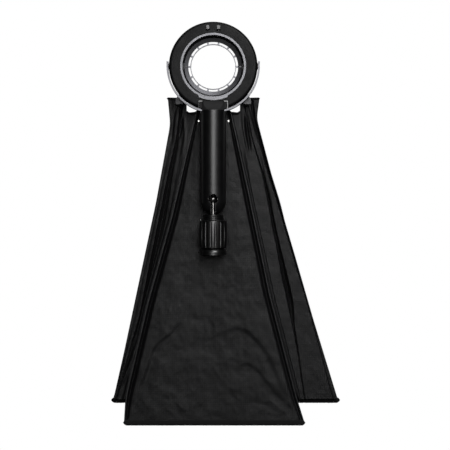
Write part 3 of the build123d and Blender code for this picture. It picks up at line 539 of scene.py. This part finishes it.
def nearest_on(line, x, z):
    """The signed distance from a line of (X, Z), and the share of the line that is passed there."""
    line = np.array(line, float)
    lengths = np.linalg.norm(np.diff(line, axis=0), axis=1)
    total, before = lengths.sum(), np.concatenate([[0], np.cumsum(lengths)])
    best, side, share = np.full(x.shape, 1e9), np.ones(x.shape), np.zeros(x.shape)
    for i, (a, b) in enumerate(zip(line, line[1:])):
        run = b - a
        t = np.clip(((x - a[0]) * run[0] + (z - a[1]) * run[1]) / (run @ run), 0, 1)
        dx, dz = x - a[0] - t * run[0], z - a[1] - t * run[1]
        away = np.hypot(dx, dz)
        nearer = away < best
        best = np.where(nearer, away, best)
        side = np.where(nearer, np.sign(run[0] * dz - run[1] * dx), side)
        share = np.where(nearer, (before[i] + t * lengths[i]) / total, share)
    return best * side, share


def rounded(line, passes=3):
    """A line of (X, Z) with its corners cut off a few times over, so that it runs smoothly."""
    line = np.array(line, float)
    for _ in range(passes):
        first, second = line[:-1] * 0.75 + line[1:] * 0.25, line[:-1] * 0.25 + line[1:] * 0.75
        middle = np.stack([first, second], axis=1).reshape(-1, 2)
        line = np.concatenate([line[:1], middle, line[-1:]])
    return line


def crease(x, z, line, height, width, shape="ridge"):
    """Relief of one crease towards the lamp side, in millimetres, fading to both of its ends.
    Its shape is a round ridge, a sharp one, or a step down from one side to the other."""
    away, share = nearest_on(rounded(line), x, z)
    fade = np.clip(np.sin(pi * np.clip(share, 0.02, 0.98)), 0, 1) ** 0.6
    if shape == "ridge":
        return height * fade * np.exp(-(away / width) ** 2)
    if shape == "sharp":
        return height * fade * np.exp(-np.abs(away) / width)
    brink, run_out = width * 0.18, width * 3
    edge = 1 / (1 + np.exp(-away / brink))
    return height * fade * (edge - 0.5) * np.exp(-(away / run_out) ** 2) * 2


CRINKLE = 0.3            # height of the fine sharp crinkle, as a share of the waves'
CRINKLE_WIDTH = 15.0
CRINKLE_LENGTH = 19.0


def waves(sheet, height, size, seed):
    """Small random waves for each point of a sheet, in millimetres, with a fine crinkle on them."""
    rows, columns = sheet.shape[:2]
    out = np.zeros((rows, columns))
    for r in range(rows):
        for c in range(columns):
            x, _, z = sheet[r, c]
            out[r, c] = noise.fractal(Vector((x / size, seed, z / (size * 1.1))), 0.9, 2.1, 3)
            fine = noise.noise(Vector((x / CRINKLE_WIDTH, seed + 4.0, z / CRINKLE_LENGTH)))
            out[r, c] += CRINKLE * (abs(fine) - 0.25)
    return out * height


def hold(sheet, reach):
    """A share from 0 at the sheet's side edges to 1 further in, so that the seams stay in place."""
    columns = sheet.shape[1]
    c = np.arange(columns)
    edge = np.minimum(c, columns - 1 - c) / reach
    return np.clip(edge, 0, 1)[None, :]


def cloth_piece(name, sheet):
    """A piece of the hood's ripstop from a sheet of points."""
    rows, columns = sheet.shape[:2]
    return make_piece(name, sheet.reshape(-1, 3), grid_faces(rows, columns), "ripstop")


def shift_by(line, shifts, y, share=1):
    """A line of (X, Z) as (X, Y, Z), moved sideways by a share of each point's shift.
    The depth y is one value, or one for each point."""
    depths = y if hasattr(y, "__len__") else [y] * len(line)
    return [(x + dx * share, d, z) for (x, z), dx, d in zip(line, shifts, depths)]


# ------------------------------------------------------------------ the hood's cloth


def front_sheet(step):
    """The front panel: a trapezoid with a rod pocket and a shadowed groove along each seam."""
    rows = int(round((PANEL_TOP_Z - FRONT_END_Z) / step))
    y = FRONT_Y
    middle = ((0.0, PANEL_TOP_Z), (0.0, -252.0), (-5.0, -403.0), (0.0, -563.0), (1.5, FRONT_END_Z))
    left_groove = (y + 5.0, y + 6.5, y + 6.0, y + 5.0, y + 2.0)
    right_groove = (y + 3.5, y + 5.5, y + 4.0, y + 2.0, y + 1.0)
    folds = [
        shift_by(LEFT_SEAM, (0, 0, 0, 0, 0), y),
        shift_by(LEFT_SEAM, (1.6, 1.8, 1.8, 1.5, 1.0), y - 0.8),
        shift_by(LEFT_SEAM, (3.0, 5.4, 5.4, 4.6, 2.8), left_groove),
        shift_by(LEFT_SEAM, (3.4, 6.2, 6.2, 5.4, 3.4), left_groove),
        shift_by(LEFT_SEAM, (5.0, 10.5, 11.0, 9.5, 6.0), y - 0.4),
        shift_by(LEFT_SEAM, (12.0, 30.0, 40.0, 45.0, 40.0), y - 1.6),
        shift_by(middle, (0, 0, 0, 0, 0), y + 0.3),
        shift_by(RIGHT_SEAM, (-12.0, -28.0, -40.0, -45.0, -40.0), y - 1.2),
        shift_by(RIGHT_SEAM, (-6.0, -9.5, -10.5, -10.0, -7.0), y - 0.6),
        shift_by(RIGHT_SEAM, (-3.6, -5.6, -6.0, -5.8, -4.2), right_groove),
        shift_by(RIGHT_SEAM, (-3.2, -4.8, -5.2, -5.0, -3.6), right_groove),
        shift_by(RIGHT_SEAM, (-1.2, -1.6, -1.6, -1.4, -1.0), y - 0.6),
        shift_by(RIGHT_SEAM, (0, 0, 0, 0, 0), y - 0.8),
    ]
    sheet = pleated(folds, step, rows, rounding=1)
    sheet[:, :, 1] -= relief(sheet, FRONT_CREASES) * hold(sheet, 12)
    return sheet


def relief(sheet, creases):
    """The height of all creases at each point of a sheet, towards the lamp side."""
    x, z = sheet[:, :, 0], sheet[:, :, 2]
    return sum(crease(x, z, line, height, width, shape) for line, height, width, shape in creases)


# Each crease of the front panel: its line as (X, Z), its height to the lamp side, width and shape.
FRONT_CREASES = (
    (((-144.0, -596.0), (-130.0, -561.0), (-116.0, -524.0), (-108.0, -498.0), (-98.0, -473.0),
      (-68.0, -453.0), (-54.0, -425.0)), 0.8, 5.8, "step"),
    (((-34.0, -228.0), (-44.0, -290.0), (-53.0, -345.0), (-60.0, -424.0)), -0.6, 10.3, "ridge"),
    (((-66.0, -572.0), (-45.0, -590.0), (-32.0, -575.0)), 0.6, 4.6, "sharp"),
    (((-56.0, -524.0), (-44.0, -540.0), (-30.0, -562.0)), 0.4, 4.0, "sharp"),
    (((-80.0, -560.0), (-76.0, -575.0), (-72.0, -560.0)), -0.4, 4.0, "ridge"),
    (((8.0, -458.0), (44.0, -441.0), (73.0, -465.0), (90.0, -485.0), (107.0, -521.0),
      (126.0, -570.0)), 0.7, 9.2, "step"),
    (((32.0, -524.0), (53.0, -504.0), (73.0, -514.0), (98.0, -546.0), (140.0, -590.0)),
     0.5, 8.0, "step"),
    (((90.0, -565.0), (112.0, -580.0), (128.0, -596.0)), 0.5, 4.6, "sharp"),
    (((62.0, -568.0), (90.0, -578.0), (118.0, -594.0)), -0.4, 4.6, "ridge"),
)


def topped(fold, x, z, y=None):
    """A fold line with its first point moved, where the cloth is drawn together."""
    return [(x, fold[0][1] if y is None else y, z)] + list(fold[1:])


def gusset_folds_left():
    """Fold lines of the left gusset, from the front seam round the fold to the rear panel."""
    gap = (
        (-59.0, -66.0), (-60.0, -99.0), (-62.0, -123.0), (-73.8, -179.0), (-85.0, -243.0),
        (-102.0, -328.0), (-121.7, -424.0), (-138.0, -470.0), (-153.0, -521.0),
        (-168.0, REAR_END_Z))
    half = (0.6, 1.5, 2.5, 3.8, 5.4, 6.2, 5.2, 2.6, 1.2, 0.8)
    deep = (30.0, 33.0, 37.0, 39.5, 40.0, 40.0, 39.0, 35.0, 32.0, 31.0)
    front, back = GUSSET_FRONT_Y, GUSSET_REAR_Y
    seam = LEFT_SEAM[:-1] + ((-151.0, REAR_END_Z),)
    return [
        [(x, front, z) for x, z in seam],
        shift_by(seam, (-2.0, -2.5, -2.5, -2.5, -2.0), front - 0.5),
        topped(shift_by(seam, (-8.0, -5.5, -5.5, -6.0, -6.0), front + 1.2),
               -GATHER_X + 0.5, GATHER_Z),
        topped(shift_by(seam, (-9.0, -7.5, -7.0, -8.0, -7.0), front + 1.5),
               -GATHER_X, GATHER_TOP_Z),
        topped(shift_by(gap, half, front + 2.0, 1), -GATHER_X - 3.0, GATHER_TOP_Z),
        topped(shift_by(gap, half, deep, 0.1), -GATHER_X - 6.0, GATHER_TOP_Z, front + 3.0),
        topped(shift_by(gap, half, deep, -0.1), -GATHER_X - 8.0, GATHER_TOP_Z, front + 3.0),
        topped(shift_by(gap, half, front + 3.0, -1), -GATHER_X - 10.0, EAR_Z),
        topped(shift_by(gap, [h + 4.0 for h in half], front + 3.4, -1), -LOOP_X - 8.0, EAR_Z),
        shift_by(LEFT_EDGE, (3.5, 3.5, 4.5, 4.5, 3.0, 0.8), front + 4.5),
        shift_by(LEFT_EDGE, (0.8, 0.8, 1.0, 1.0, 0.8, 0.3), front + 3.4),
        shift_by(LEFT_EDGE, (0, 0, 0, 0, 0, 0), front + 8.0),
        shift_by(LEFT_EDGE, (6.0, 6.0, 7.0, 8.0, 8.0, 6.0), back),
    ]


def gusset_folds_right():
    """Fold lines of the right gusset, from the front seam round the fold to the rear panel."""
    front, back = GUSSET_FRONT_Y, GUSSET_REAR_Y
    seam = RIGHT_SEAM[:-1] + ((146.0, REAR_END_Z),)
    strip = (
        (54.0, -68.0), (66.0, -120.0), (87.0, -188.0), (108.0, -299.0), (116.5, -349.0),
        (127.3, -397.0), (136.0, -440.0), (144.7, -486.0), (153.3, -549.0),
        (156.5, REAR_END_Z))
    gap = (1.0, 1.2, 2.0, 5.0, 8.5, 9.0, 2.5, 1.0, 1.0, 1.0)
    deep = (30.0, 31.0, 35.0, 38.5, 40.0, 40.0, 34.0, 31.0, 31.0, 31.0)
    outer = (
        (64.0, -58.0), (69.7, -86.0), (80.7, -125.0), (96.5, -180.0), (112.0, -228.0),
        (132.0, -303.0), (150.0, -365.0), (166.0, -420.0), (206.0, REAR_END_Z))
    rim = (1.0, 2.0, 2.8, 3.2, 2.8, 1.0, 0.6, 0.5, 0.5)
    rim_deep = (30.0, 35.0, 38.0, 39.0, 37.0, 32.0, 29.5, 29.0, 29.0)
    return [
        [(x, front, z) for x, z in seam],
        shift_by(seam, (2.0, 5.0, 6.5, 6.0, 3.0), front - 1.4),
        topped(shift_by(seam, (6.0, 6.5, 8.0, 7.5, 4.0), front + 1.0), GATHER_X - 0.5, GATHER_Z),
        topped(shift_by(seam, (7.0, 8.0, 9.5, 9.0, 5.0), front + 1.0), GATHER_X, GATHER_TOP_Z),
        topped(shift_by(strip, gap, front + 1.5, 0), GATHER_X + 3.0, GATHER_TOP_Z),
        topped(shift_by(strip, gap, deep, 0.45), GATHER_X + 5.0, GATHER_TOP_Z, front + 3.0),
        topped(shift_by(strip, gap, deep, 0.6), GATHER_X + 7.0, GATHER_TOP_Z, front + 3.0),
        topped(shift_by(strip, gap, front + 4.0, 1), GATHER_X + 9.0, GATHER_TOP_Z),
        topped(shift_by(outer, rim, front + 4.0, -1), LOOP_X + 4.0, EAR_Z),
        topped(shift_by(outer, rim, rim_deep, -0.1), LOOP_X + 6.0, EAR_Z),
        topped(shift_by(outer, rim, rim_deep, 0.1), LOOP_X + 8.0, EAR_Z),
        topped(shift_by(outer, rim, front + 4.5, 1), LOOP_X + 10.0, EAR_Z),
        shift_by(RIGHT_EDGE, (-0.8, -0.8, -1.0, -1.0, -0.8, -0.3), front + 4.0),
        shift_by(RIGHT_EDGE, (0, 0, 0, 0, 0, 0), front + 8.0),
        shift_by(RIGHT_EDGE, (-6.0, -6.0, -7.0, -8.0, -8.0, -6.0), back),
    ]


# Creases of the gussets' fronts, in the same form.
LEFT_CREASES = (
    (((-52.0, -84.0), (-53.2, -90.0), (-56.0, -104.0), (-58.3, -120.0)), -3.0, 1.8, "ridge"),
    (((-60.0, -58.0), (-66.0, -72.0), (-70.0, -96.0), (-72.0, -130.0)), -1.6, 2.2, "ridge"),
    (((-57.0, -66.0), (-50.0, -92.0), (-48.0, -118.0), (-54.0, -150.0)), 1.2, 2.6, "ridge"),
    (((-132.0, -473.0), (-142.0, -505.0), (-154.0, -535.0), (-166.0, -552.0)), 2.0, 3.0, "ridge"),
)
RIGHT_CREASES = (
    (((55.5, -83.0), (58.0, -106.0), (61.0, -126.0), (63.4, -144.0)), -4.0, 2.0, "ridge"),
    (((60.0, -58.0), (64.0, -72.0), (72.0, -100.0), (84.0, -140.0)), 1.6, 2.4, "ridge"),
    (((52.0, -72.0), (50.0, -92.0), (54.0, -118.0), (62.0, -150.0)), 1.2, 2.6, "ridge"),
    (((80.0, -149.0), (87.0, -188.0), (97.0, -225.0), (106.0, -299.0)), -1.2, 2.4, "ridge"),
)


def rear_folds():
    """Fold lines of the rear panel, from its left edge to its right edge."""
    middle_x = (REAR_LOW.x + REAR_HIGH.x) / 2
    loop_top = LOOP_Z - 2.0
    knee_z, low_knee_z = -229.0, -300.0
    # X and Z at the top, X, Z and depth at the knee, and X and depth at the hem.
    runs = (
        (-LOOP_X, loop_top, -LOOP_X - 12.0, knee_z, 0.8, -120.0, 0.0),
        (-GATHER_X, GATHER_Z, -GATHER_X - 8.0, knee_z, 1.6, -88.0, 0.4),
        (-THROAT_X, PANEL_TOP_Z, -THROAT_X - 10.0, knee_z, 1.0, -60.0, 0.6),
        (0.0, PANEL_TOP_Z, middle_x / 2, low_knee_z, -0.8, middle_x, 0.0),
        (THROAT_X, PANEL_TOP_Z, THROAT_X + 20.0, knee_z, 1.0, 100.0, 0.6),
        (GATHER_X, GATHER_Z, GATHER_X + 20.0, knee_z, 1.6, 132.0, 0.4),
        (LOOP_X, loop_top, LOOP_X + 18.0, knee_z, 0.8, 160.0, 0.0),
    )
    folds = [
        [(x, REAR_Y, z), (knee_x, REAR_Y + knee_y, knee), (hem_x, REAR_Y + hem_y, REAR_END_Z)]
        for x, z, knee_x, knee, knee_y, hem_x, hem_y in runs
    ]
    left = shift_by(LEFT_EDGE, (4.0, 4.0, 5.0, 6.0, 6.0, 2.0), REAR_Y)
    right = shift_by(RIGHT_EDGE, (-4.0, -4.0, -5.0, -6.0, -6.0, -2.0), REAR_Y)
    return [left] + folds + [right]


# Creases of the rear panel, seen from behind; a minus height is a ridge towards the back.
REAR_CREASES = (
    (((-50.0, -76.0), (-64.0, -150.0), (-86.0, -260.0), (-104.0, -380.0)), -2.0, 7.0, "ridge"),
    (((50.0, -76.0), (66.0, -150.0), (96.0, -250.0), (130.0, -360.0)), -2.0, 7.0, "ridge"),
    (((-36.0, -86.0), (-34.0, -150.0), (-40.0, -240.0)), 1.6, 6.0, "ridge"),
    (((36.0, -86.0), (38.0, -150.0), (46.0, -240.0)), 1.6, 6.0, "ridge"),
    (((-120.0, -420.0), (-60.0, -446.0), (10.0, -430.0), (90.0, -462.0)), -1.8, 9.0, "step"),
    (((150.0, -420.0), (96.0, -470.0), (60.0, -520.0), (40.0, -556.0)), -1.6, 7.0, "ridge"),
    (((-130.0, -500.0), (-92.0, -520.0), (-70.0, -552.0)), -1.6, 6.0, "ridge"),
)


class SNOOT_OT_front_panel(bpy.types.Operator):
    """Make the hood's front panel"""

    bl_idname = "snoot.front_panel"
    bl_label = "Front panel"

    def execute(self, context):
        settings = context.scene.snoot_hood
        sheet = front_sheet(settings.mesh_step / MM)
        height = 1.6 * settings.rumple / MM
        sheet[:, :, 1] += waves(sheet, height, 30.0, 1.0) * hold(sheet, 12)
        piece = cloth_piece("front_cloth", sheet)
        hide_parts("front_panel")
        return {"FINISHED"}


class SNOOT_OT_gussets(bpy.types.Operator):
    """Make the folded side gussets"""

    bl_idname = "snoot.gussets"
    bl_label = "Gussets"

    def execute(self, context):
        settings = context.scene.snoot_hood
        step = settings.mesh_step / MM
        rows = int(round((EAR_Z - REAR_END_Z) / step))
        sides = (
            ("left", gusset_folds_left(), LEFT_CREASES, 5.0),
            ("right", gusset_folds_right(), RIGHT_CREASES, 9.0))
        for name, folds, creases, seed in sides:
            sheet = pleated(folds, step, rows, rounding=1)
            sheet[:, :, 1] -= relief(sheet, creases) * hold(sheet, 6)
            sheet[:, :, 1] += waves(sheet, settings.rumple / MM, 22.0, seed) * hold(sheet, 6)
            piece = cloth_piece(f"{name}_gusset_cloth", sheet)
            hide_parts(f"{name}_gusset")
        return {"FINISHED"}


class SNOOT_OT_rear_panel(bpy.types.Operator):
    """Make the hood's rear panel"""

    bl_idname = "snoot.rear_panel"
    bl_label = "Rear panel"

    def execute(self, context):
        settings = context.scene.snoot_hood
        step = settings.mesh_step / MM
        rows = int(round((EAR_Z - REAR_END_Z) / step))
        sheet = pleated(rear_folds(), step, rows)
        sheet[:, :, 1] -= relief(sheet, REAR_CREASES) * hold(sheet, 10)
        height = 2 * settings.rumple / MM
        sheet[:, :, 1] += waves(sheet, height, 45.0, 3.0) * hold(sheet, 10)
        piece = cloth_piece("rear_cloth", sheet)
        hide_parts("rear_panel")
        return {"FINISHED"}


# ------------------------------------------------------------------ trim


def closed_ends(rows, around):
    """The quads of a tube of rows by points around it, with a flat face on each end."""
    faces = grid_faces(rows, around, closed=True)
    faces.append(tuple(range(around))[::-1])
    faces.append(tuple(range((rows - 1) * around, rows * around)))
    return faces


def band_along(name, line, width, thickness, slot_name, fuzz, seed):
    """A soft flat band with rounded edges along a line of (X, Y, Z), its width upright.
    The fuzz is the height of its rough pile, and the seed tells one band's pile from another's."""
    around, step, grain_size = 10, 1.6, 1 / 0.55
    line = np.array(line, float)
    lengths = np.linalg.norm(np.diff(line, axis=0), axis=1)
    along = np.concatenate([[0], np.cumsum(lengths)])
    count = max(4, int(along[-1] / step))
    at = np.linspace(0, along[-1], count)
    centre = np.stack([np.interp(at, along, line[:, k]) for k in range(3)], axis=1)
    points = []
    for i, c in enumerate(centre):
        end = min(at[i], along[-1] - at[i])
        swell = min(1.0, (end / (width * 0.5)) ** 0.5 if end < width * 0.5 else 1.0)
        swell = max(swell, 0.08)
        for a in range(around):
            angle = tau * a / around
            up = np.sign(cos(angle)) * abs(cos(angle)) ** 0.55 * width / 2 * swell
            out = sin(angle) * thickness / 2 * max(swell, 0.5)
            rough = noise.noise(Vector((c[0] / grain_size, c[2] / grain_size + a, seed))) * fuzz
            points.append((c[0], c[1] + out * (1 + rough * 0.2), c[2] + up + rough * np.sign(up)))
    return make_piece(name, points, closed_ends(count, around), slot_name)


def tube_along(name, line, radius, slot_name):
    """A round rod or piping along points (X, Y, Z) in millimetres."""
    around = 8
    line = np.array(line, float)
    points = []
    for i, c in enumerate(line):
        run = line[min(i + 1, len(line) - 1)] - line[max(i - 1, 0)]
        run /= np.linalg.norm(run)
        side = np.cross(run, (0, 1, 0))
        side /= np.linalg.norm(side)
        out = np.cross(side, run)
        for a in range(around):
            angle = tau * a / around
            points.append(c + radius * (side * cos(angle) + out * sin(angle)))
    return make_piece(name, points, closed_ends(len(line), around), slot_name)


def hem_tapes():
    """The thick fuzzy tapes along both hems."""
    for node, drop, seed in (("front_hem", 2.5, 2.0), ("rear_hem", 3.5, 7.0)):
        low, high = box_mm(node)
        y, z = (low.y + high.y) / 2, (low.z + high.z) / 2 - drop
        line = [(low.x - TAPE_OVERHANG, y, z), (high.x + TAPE_OVERHANG, y, z)]
        piece = band_along(f"{node}_tape", line, high.z - low.z, high.y - low.y, "loop_tape",
                           0.55, seed)
        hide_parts(node)


def pipings(radius):
    """The glazed piping in each front seam."""
    for name, seam in (("left", LEFT_SEAM), ("right", RIGHT_SEAM)):
        line = soft_line([(x, FRONT_Y - 0.9, z) for x, z in seam], 200)
        piping = tube_along(f"{name}_piping", line, radius, "ripstop")
        piping.data.materials[0] = finish_of("piping")


def throat_bindings():
    """The tapes that bind the front and the rear of the hood's throat."""
    tips = [(-GATHER_X, GATHER_Z + 2.0), (-GATHER_X + 4.0, GATHER_Z - 1.5),
            (-THROAT_X - 3.0, GATHER_Z - 2.0), (-THROAT_X + 2.0, GATHER_Z + 2.0)]
    tips += [(-x, z) for x, z in reversed(tips)]
    front = [(x, FRONT_Y - 0.6, z) for x, z in tips]
    piece = band_along("front_binding_tape", front, BINDING, 2.0, "binding", 0.1, 4.0)
    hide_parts("front_binding")
    y, loop_foot = box_mm("rear_binding")[0].y + 1.0, LOOP_Z - LOOP_RADIUS
    rear = [(-LOOP_X, y, loop_foot)] + [(x, y, z) for x, z in tips] + [(LOOP_X, y, loop_foot)]
    piece = band_along("rear_binding_tape", rear, BINDING, 2.0, "binding", 0.1, 5.0)
    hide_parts("rear_binding")


def ear_bindings():
    """The short tapes along the top of each ear."""
    y = GUSSET_FRONT_Y
    ears = [(-80.0, y + 5.0, EAR_Z), (-LOOP_X - 3.0, y + 4.0, EAR_Z - 0.5)]
    for name, side in (("left", 1), ("right", -1)):
        line = [(side * x, depth, z) for x, depth, z in ears]
        band_along(f"{name}_ear_binding", line, BINDING, 2.4, "binding", 0.1, 6.0)


class SNOOT_OT_trim(bpy.types.Operator):
    """Make the hems, bindings and piping"""

    bl_idname = "snoot.trim"
    bl_label = "Hood trim"

    def execute(self, context):
        hem_tapes()
        pipings(context.scene.snoot_hood.piping_radius / MM)
        throat_bindings()
        ear_bindings()
        return {"FINISHED"}


class SNOOT_OT_rods(bpy.types.Operator):
    """Make the thin rods in the corner pockets"""

    bl_idname = "snoot.rods"
    bl_label = "Corner rods"

    def execute(self, context):
        rod_radius = 1.2
        places = (
            ("front_left_rod", LEFT_SEAM, 7.0, FRONT_Y + 9.5),
            ("front_right_rod", RIGHT_SEAM, -6.0, FRONT_Y + 8.5),
            ("rear_left_rod", LEFT_EDGE[1:], 12.0, REAR_Y - 2.2),
            ("rear_right_rod", RIGHT_EDGE[1:], -12.0, REAR_Y - 2.2),
        )
        for name, line, inset, y in places:
            points = soft_line([(x + inset, y, z) for x, z in line], 60)[3:-6]
            piece = tube_along(name, points, rod_radius, "dark_steel")
            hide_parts("corner_rods")
        return {"FINISHED"}


# ------------------------------------------------------------------ rigid parts and stage


class SNOOT_OT_rigid_finishes(bpy.types.Operator):
    """Give every rigid part its finish"""

    bl_idname = "snoot.rigid_finishes"
    bl_label = "Rigid parts"

    def execute(self, context):
        for name, node in frame["nodes"].items():
            node.data.materials.clear()
            node.data.materials.append(finish_of(SLOTS[name]))
        return {"FINISHED"}


def area_light(name, place, target, width, height, power):
    """A soft rectangular lamp that faces a target."""
    data = bpy.data.lights.new(name, "AREA")
    data.shape = "RECTANGLE"
    data.size, data.size_y = width, height
    data.energy = power
    lamp = bpy.data.objects.new(name, data)
    lamp.location = place
    lamp.rotation_euler = (Vector(target) - Vector(place)).to_track_quat("-Z", "Y").to_euler()
    bpy.context.scene.collection.objects.link(lamp)


def white_room():
    """A white room behind the object, dark beside and before it, and plain white to the camera."""
    world = bpy.data.worlds.new("white room")
    bpy.context.scene.world = world
    world.use_nodes = True
    tree = world.node_tree
    tree.nodes.clear()
    direction = add(tree, "ShaderNodeTexCoord").outputs["Generated"]
    axes = add(tree, "ShaderNodeSeparateXYZ", {"Vector": direction})
    wall = spread(tree, axes.outputs["Y"], 0.005, 0.8, 0.3, 0.9)
    room = add(tree, "ShaderNodeBackground", {"Color": (1, 1, 1, 1), "Strength": wall})
    seen = add(tree, "ShaderNodeBackground", {"Color": (1, 1, 1, 1), "Strength": 1.0})
    direct = add(tree, "ShaderNodeLightPath").outputs["Is Camera Ray"]
    both = add(tree, "ShaderNodeMixShader", {0: direct, 1: room.outputs[0], 2: seen.outputs[0]})
    add(tree, "ShaderNodeOutputWorld", {"Surface": both.outputs[0]})


def pale_floor(height):
    """A plain pale floor below the object."""
    mesh = bpy.data.meshes.new("floor")
    reach = 6.0
    mesh.from_pydata([(-reach, -reach, height), (reach, -reach, height), (reach, reach, height),
                      (-reach, reach, height)], [], [(0, 1, 2, 3)])
    floor = bpy.data.objects.new("floor", mesh)
    bpy.context.scene.collection.objects.link(floor)
    material = bpy.data.materials.new("white paper sweep")
    material.use_nodes = True
    tree = material.node_tree
    tree.nodes.clear()
    direct = add(tree, "ShaderNodeLightPath").outputs["Is Camera Ray"]
    paper = add(tree, "ShaderNodeBsdfDiffuse", {"Color": linear("#3c3c3c")})
    glow = add(tree, "ShaderNodeEmission", {"Color": (1, 1, 1, 1), "Strength": 1.0})
    both = add(tree, "ShaderNodeMixShader", {0: direct, 1: paper.outputs[0], 2: glow.outputs[0]})
    add(tree, "ShaderNodeOutputMaterial", {"Surface": both.outputs[0]})
    mesh.materials.append(material)


class SNOOT_OT_stage(bpy.types.Operator):
    """Make the floor, the lights and the camera"""

    bl_idname = "snoot.stage"
    bl_label = "Stage"

    def execute(self, context):
        settings = context.scene.snoot_stage
        white_room()
        pale_floor(settings.floor_z)
        middle = Vector((settings.camera_x, 0.0, settings.camera_z))
        above = middle + Vector((0, 0, 0.1))
        area_light("front softbox", (0.75, -3.0, 1.25), above, 1.4, 1.2, 62.0)
        area_light("front strip", (0.0, -3.2, 0.1), middle, 1.5, 0.7, 19.0)
        area_light("top softbox", (0.3, -0.9, 2.0), (0.0, 0.0, -0.1), 1.2, 0.7, 11.0)
        camera = bpy.data.cameras.new("camera")
        camera.sensor_width = 36.0
        camera.lens = camera.sensor_width * settings.camera_distance / settings.view_width
        eye = bpy.data.objects.new("camera", camera)
        eye.location = (settings.camera_x, -settings.camera_distance, settings.camera_z)
        eye.rotation_euler = (pi / 2, 0.0, 0.0)
        context.scene.collection.objects.link(eye)
        context.scene.camera = eye
        context.scene.view_settings.view_transform = "Standard"
        return {"FINISHED"}


class SNOOT_PT_parts(bpy.types.Panel):
    """Lists the snoot's pieces"""

    bl_label = "Snoot"
    bl_idname = "SNOOT_PT_parts"
    bl_space_type = "VIEW_3D"
    bl_region_type = "UI"
    bl_category = "Snoot"

    def draw(self, context):
        """Draws one button for each operator."""
        for operator in OPERATORS:
            self.layout.operator(operator.bl_idname)


OPERATORS = (
    SNOOT_OT_rigid_finishes,
    SNOOT_OT_front_panel,
    SNOOT_OT_gussets,
    SNOOT_OT_rear_panel,
    SNOOT_OT_trim,
    SNOOT_OT_rods,
    SNOOT_OT_stage,
)
SETTINGS = (SnootHoodSettings, SnootColourSettings, SnootStageSettings)
CLASSES = SETTINGS + OPERATORS + (SNOOT_PT_parts,)


def register():
    """Adds the settings, operators and panel to Blender."""
    for item in CLASSES:
        bpy.utils.register_class(item)
    bpy.types.Scene.snoot_hood = PointerProperty(type=SnootHoodSettings)
    bpy.types.Scene.snoot_colours = PointerProperty(type=SnootColourSettings)
    bpy.types.Scene.snoot_stage = PointerProperty(type=SnootStageSettings)


def unregister():
    """Takes them out again."""
    del bpy.types.Scene.snoot_stage
    del bpy.types.Scene.snoot_colours
    del bpy.types.Scene.snoot_hood
    for item in reversed(CLASSES):
        bpy.utils.unregister_class(item)


def main():
    """Makes every piece around the frame."""
    register()
    make_finishes()
    for operator in OPERATORS:
        group, name = operator.bl_idname.split(".")
        getattr(getattr(bpy.ops, group), name)()


if __name__ == "__main__":
    main()
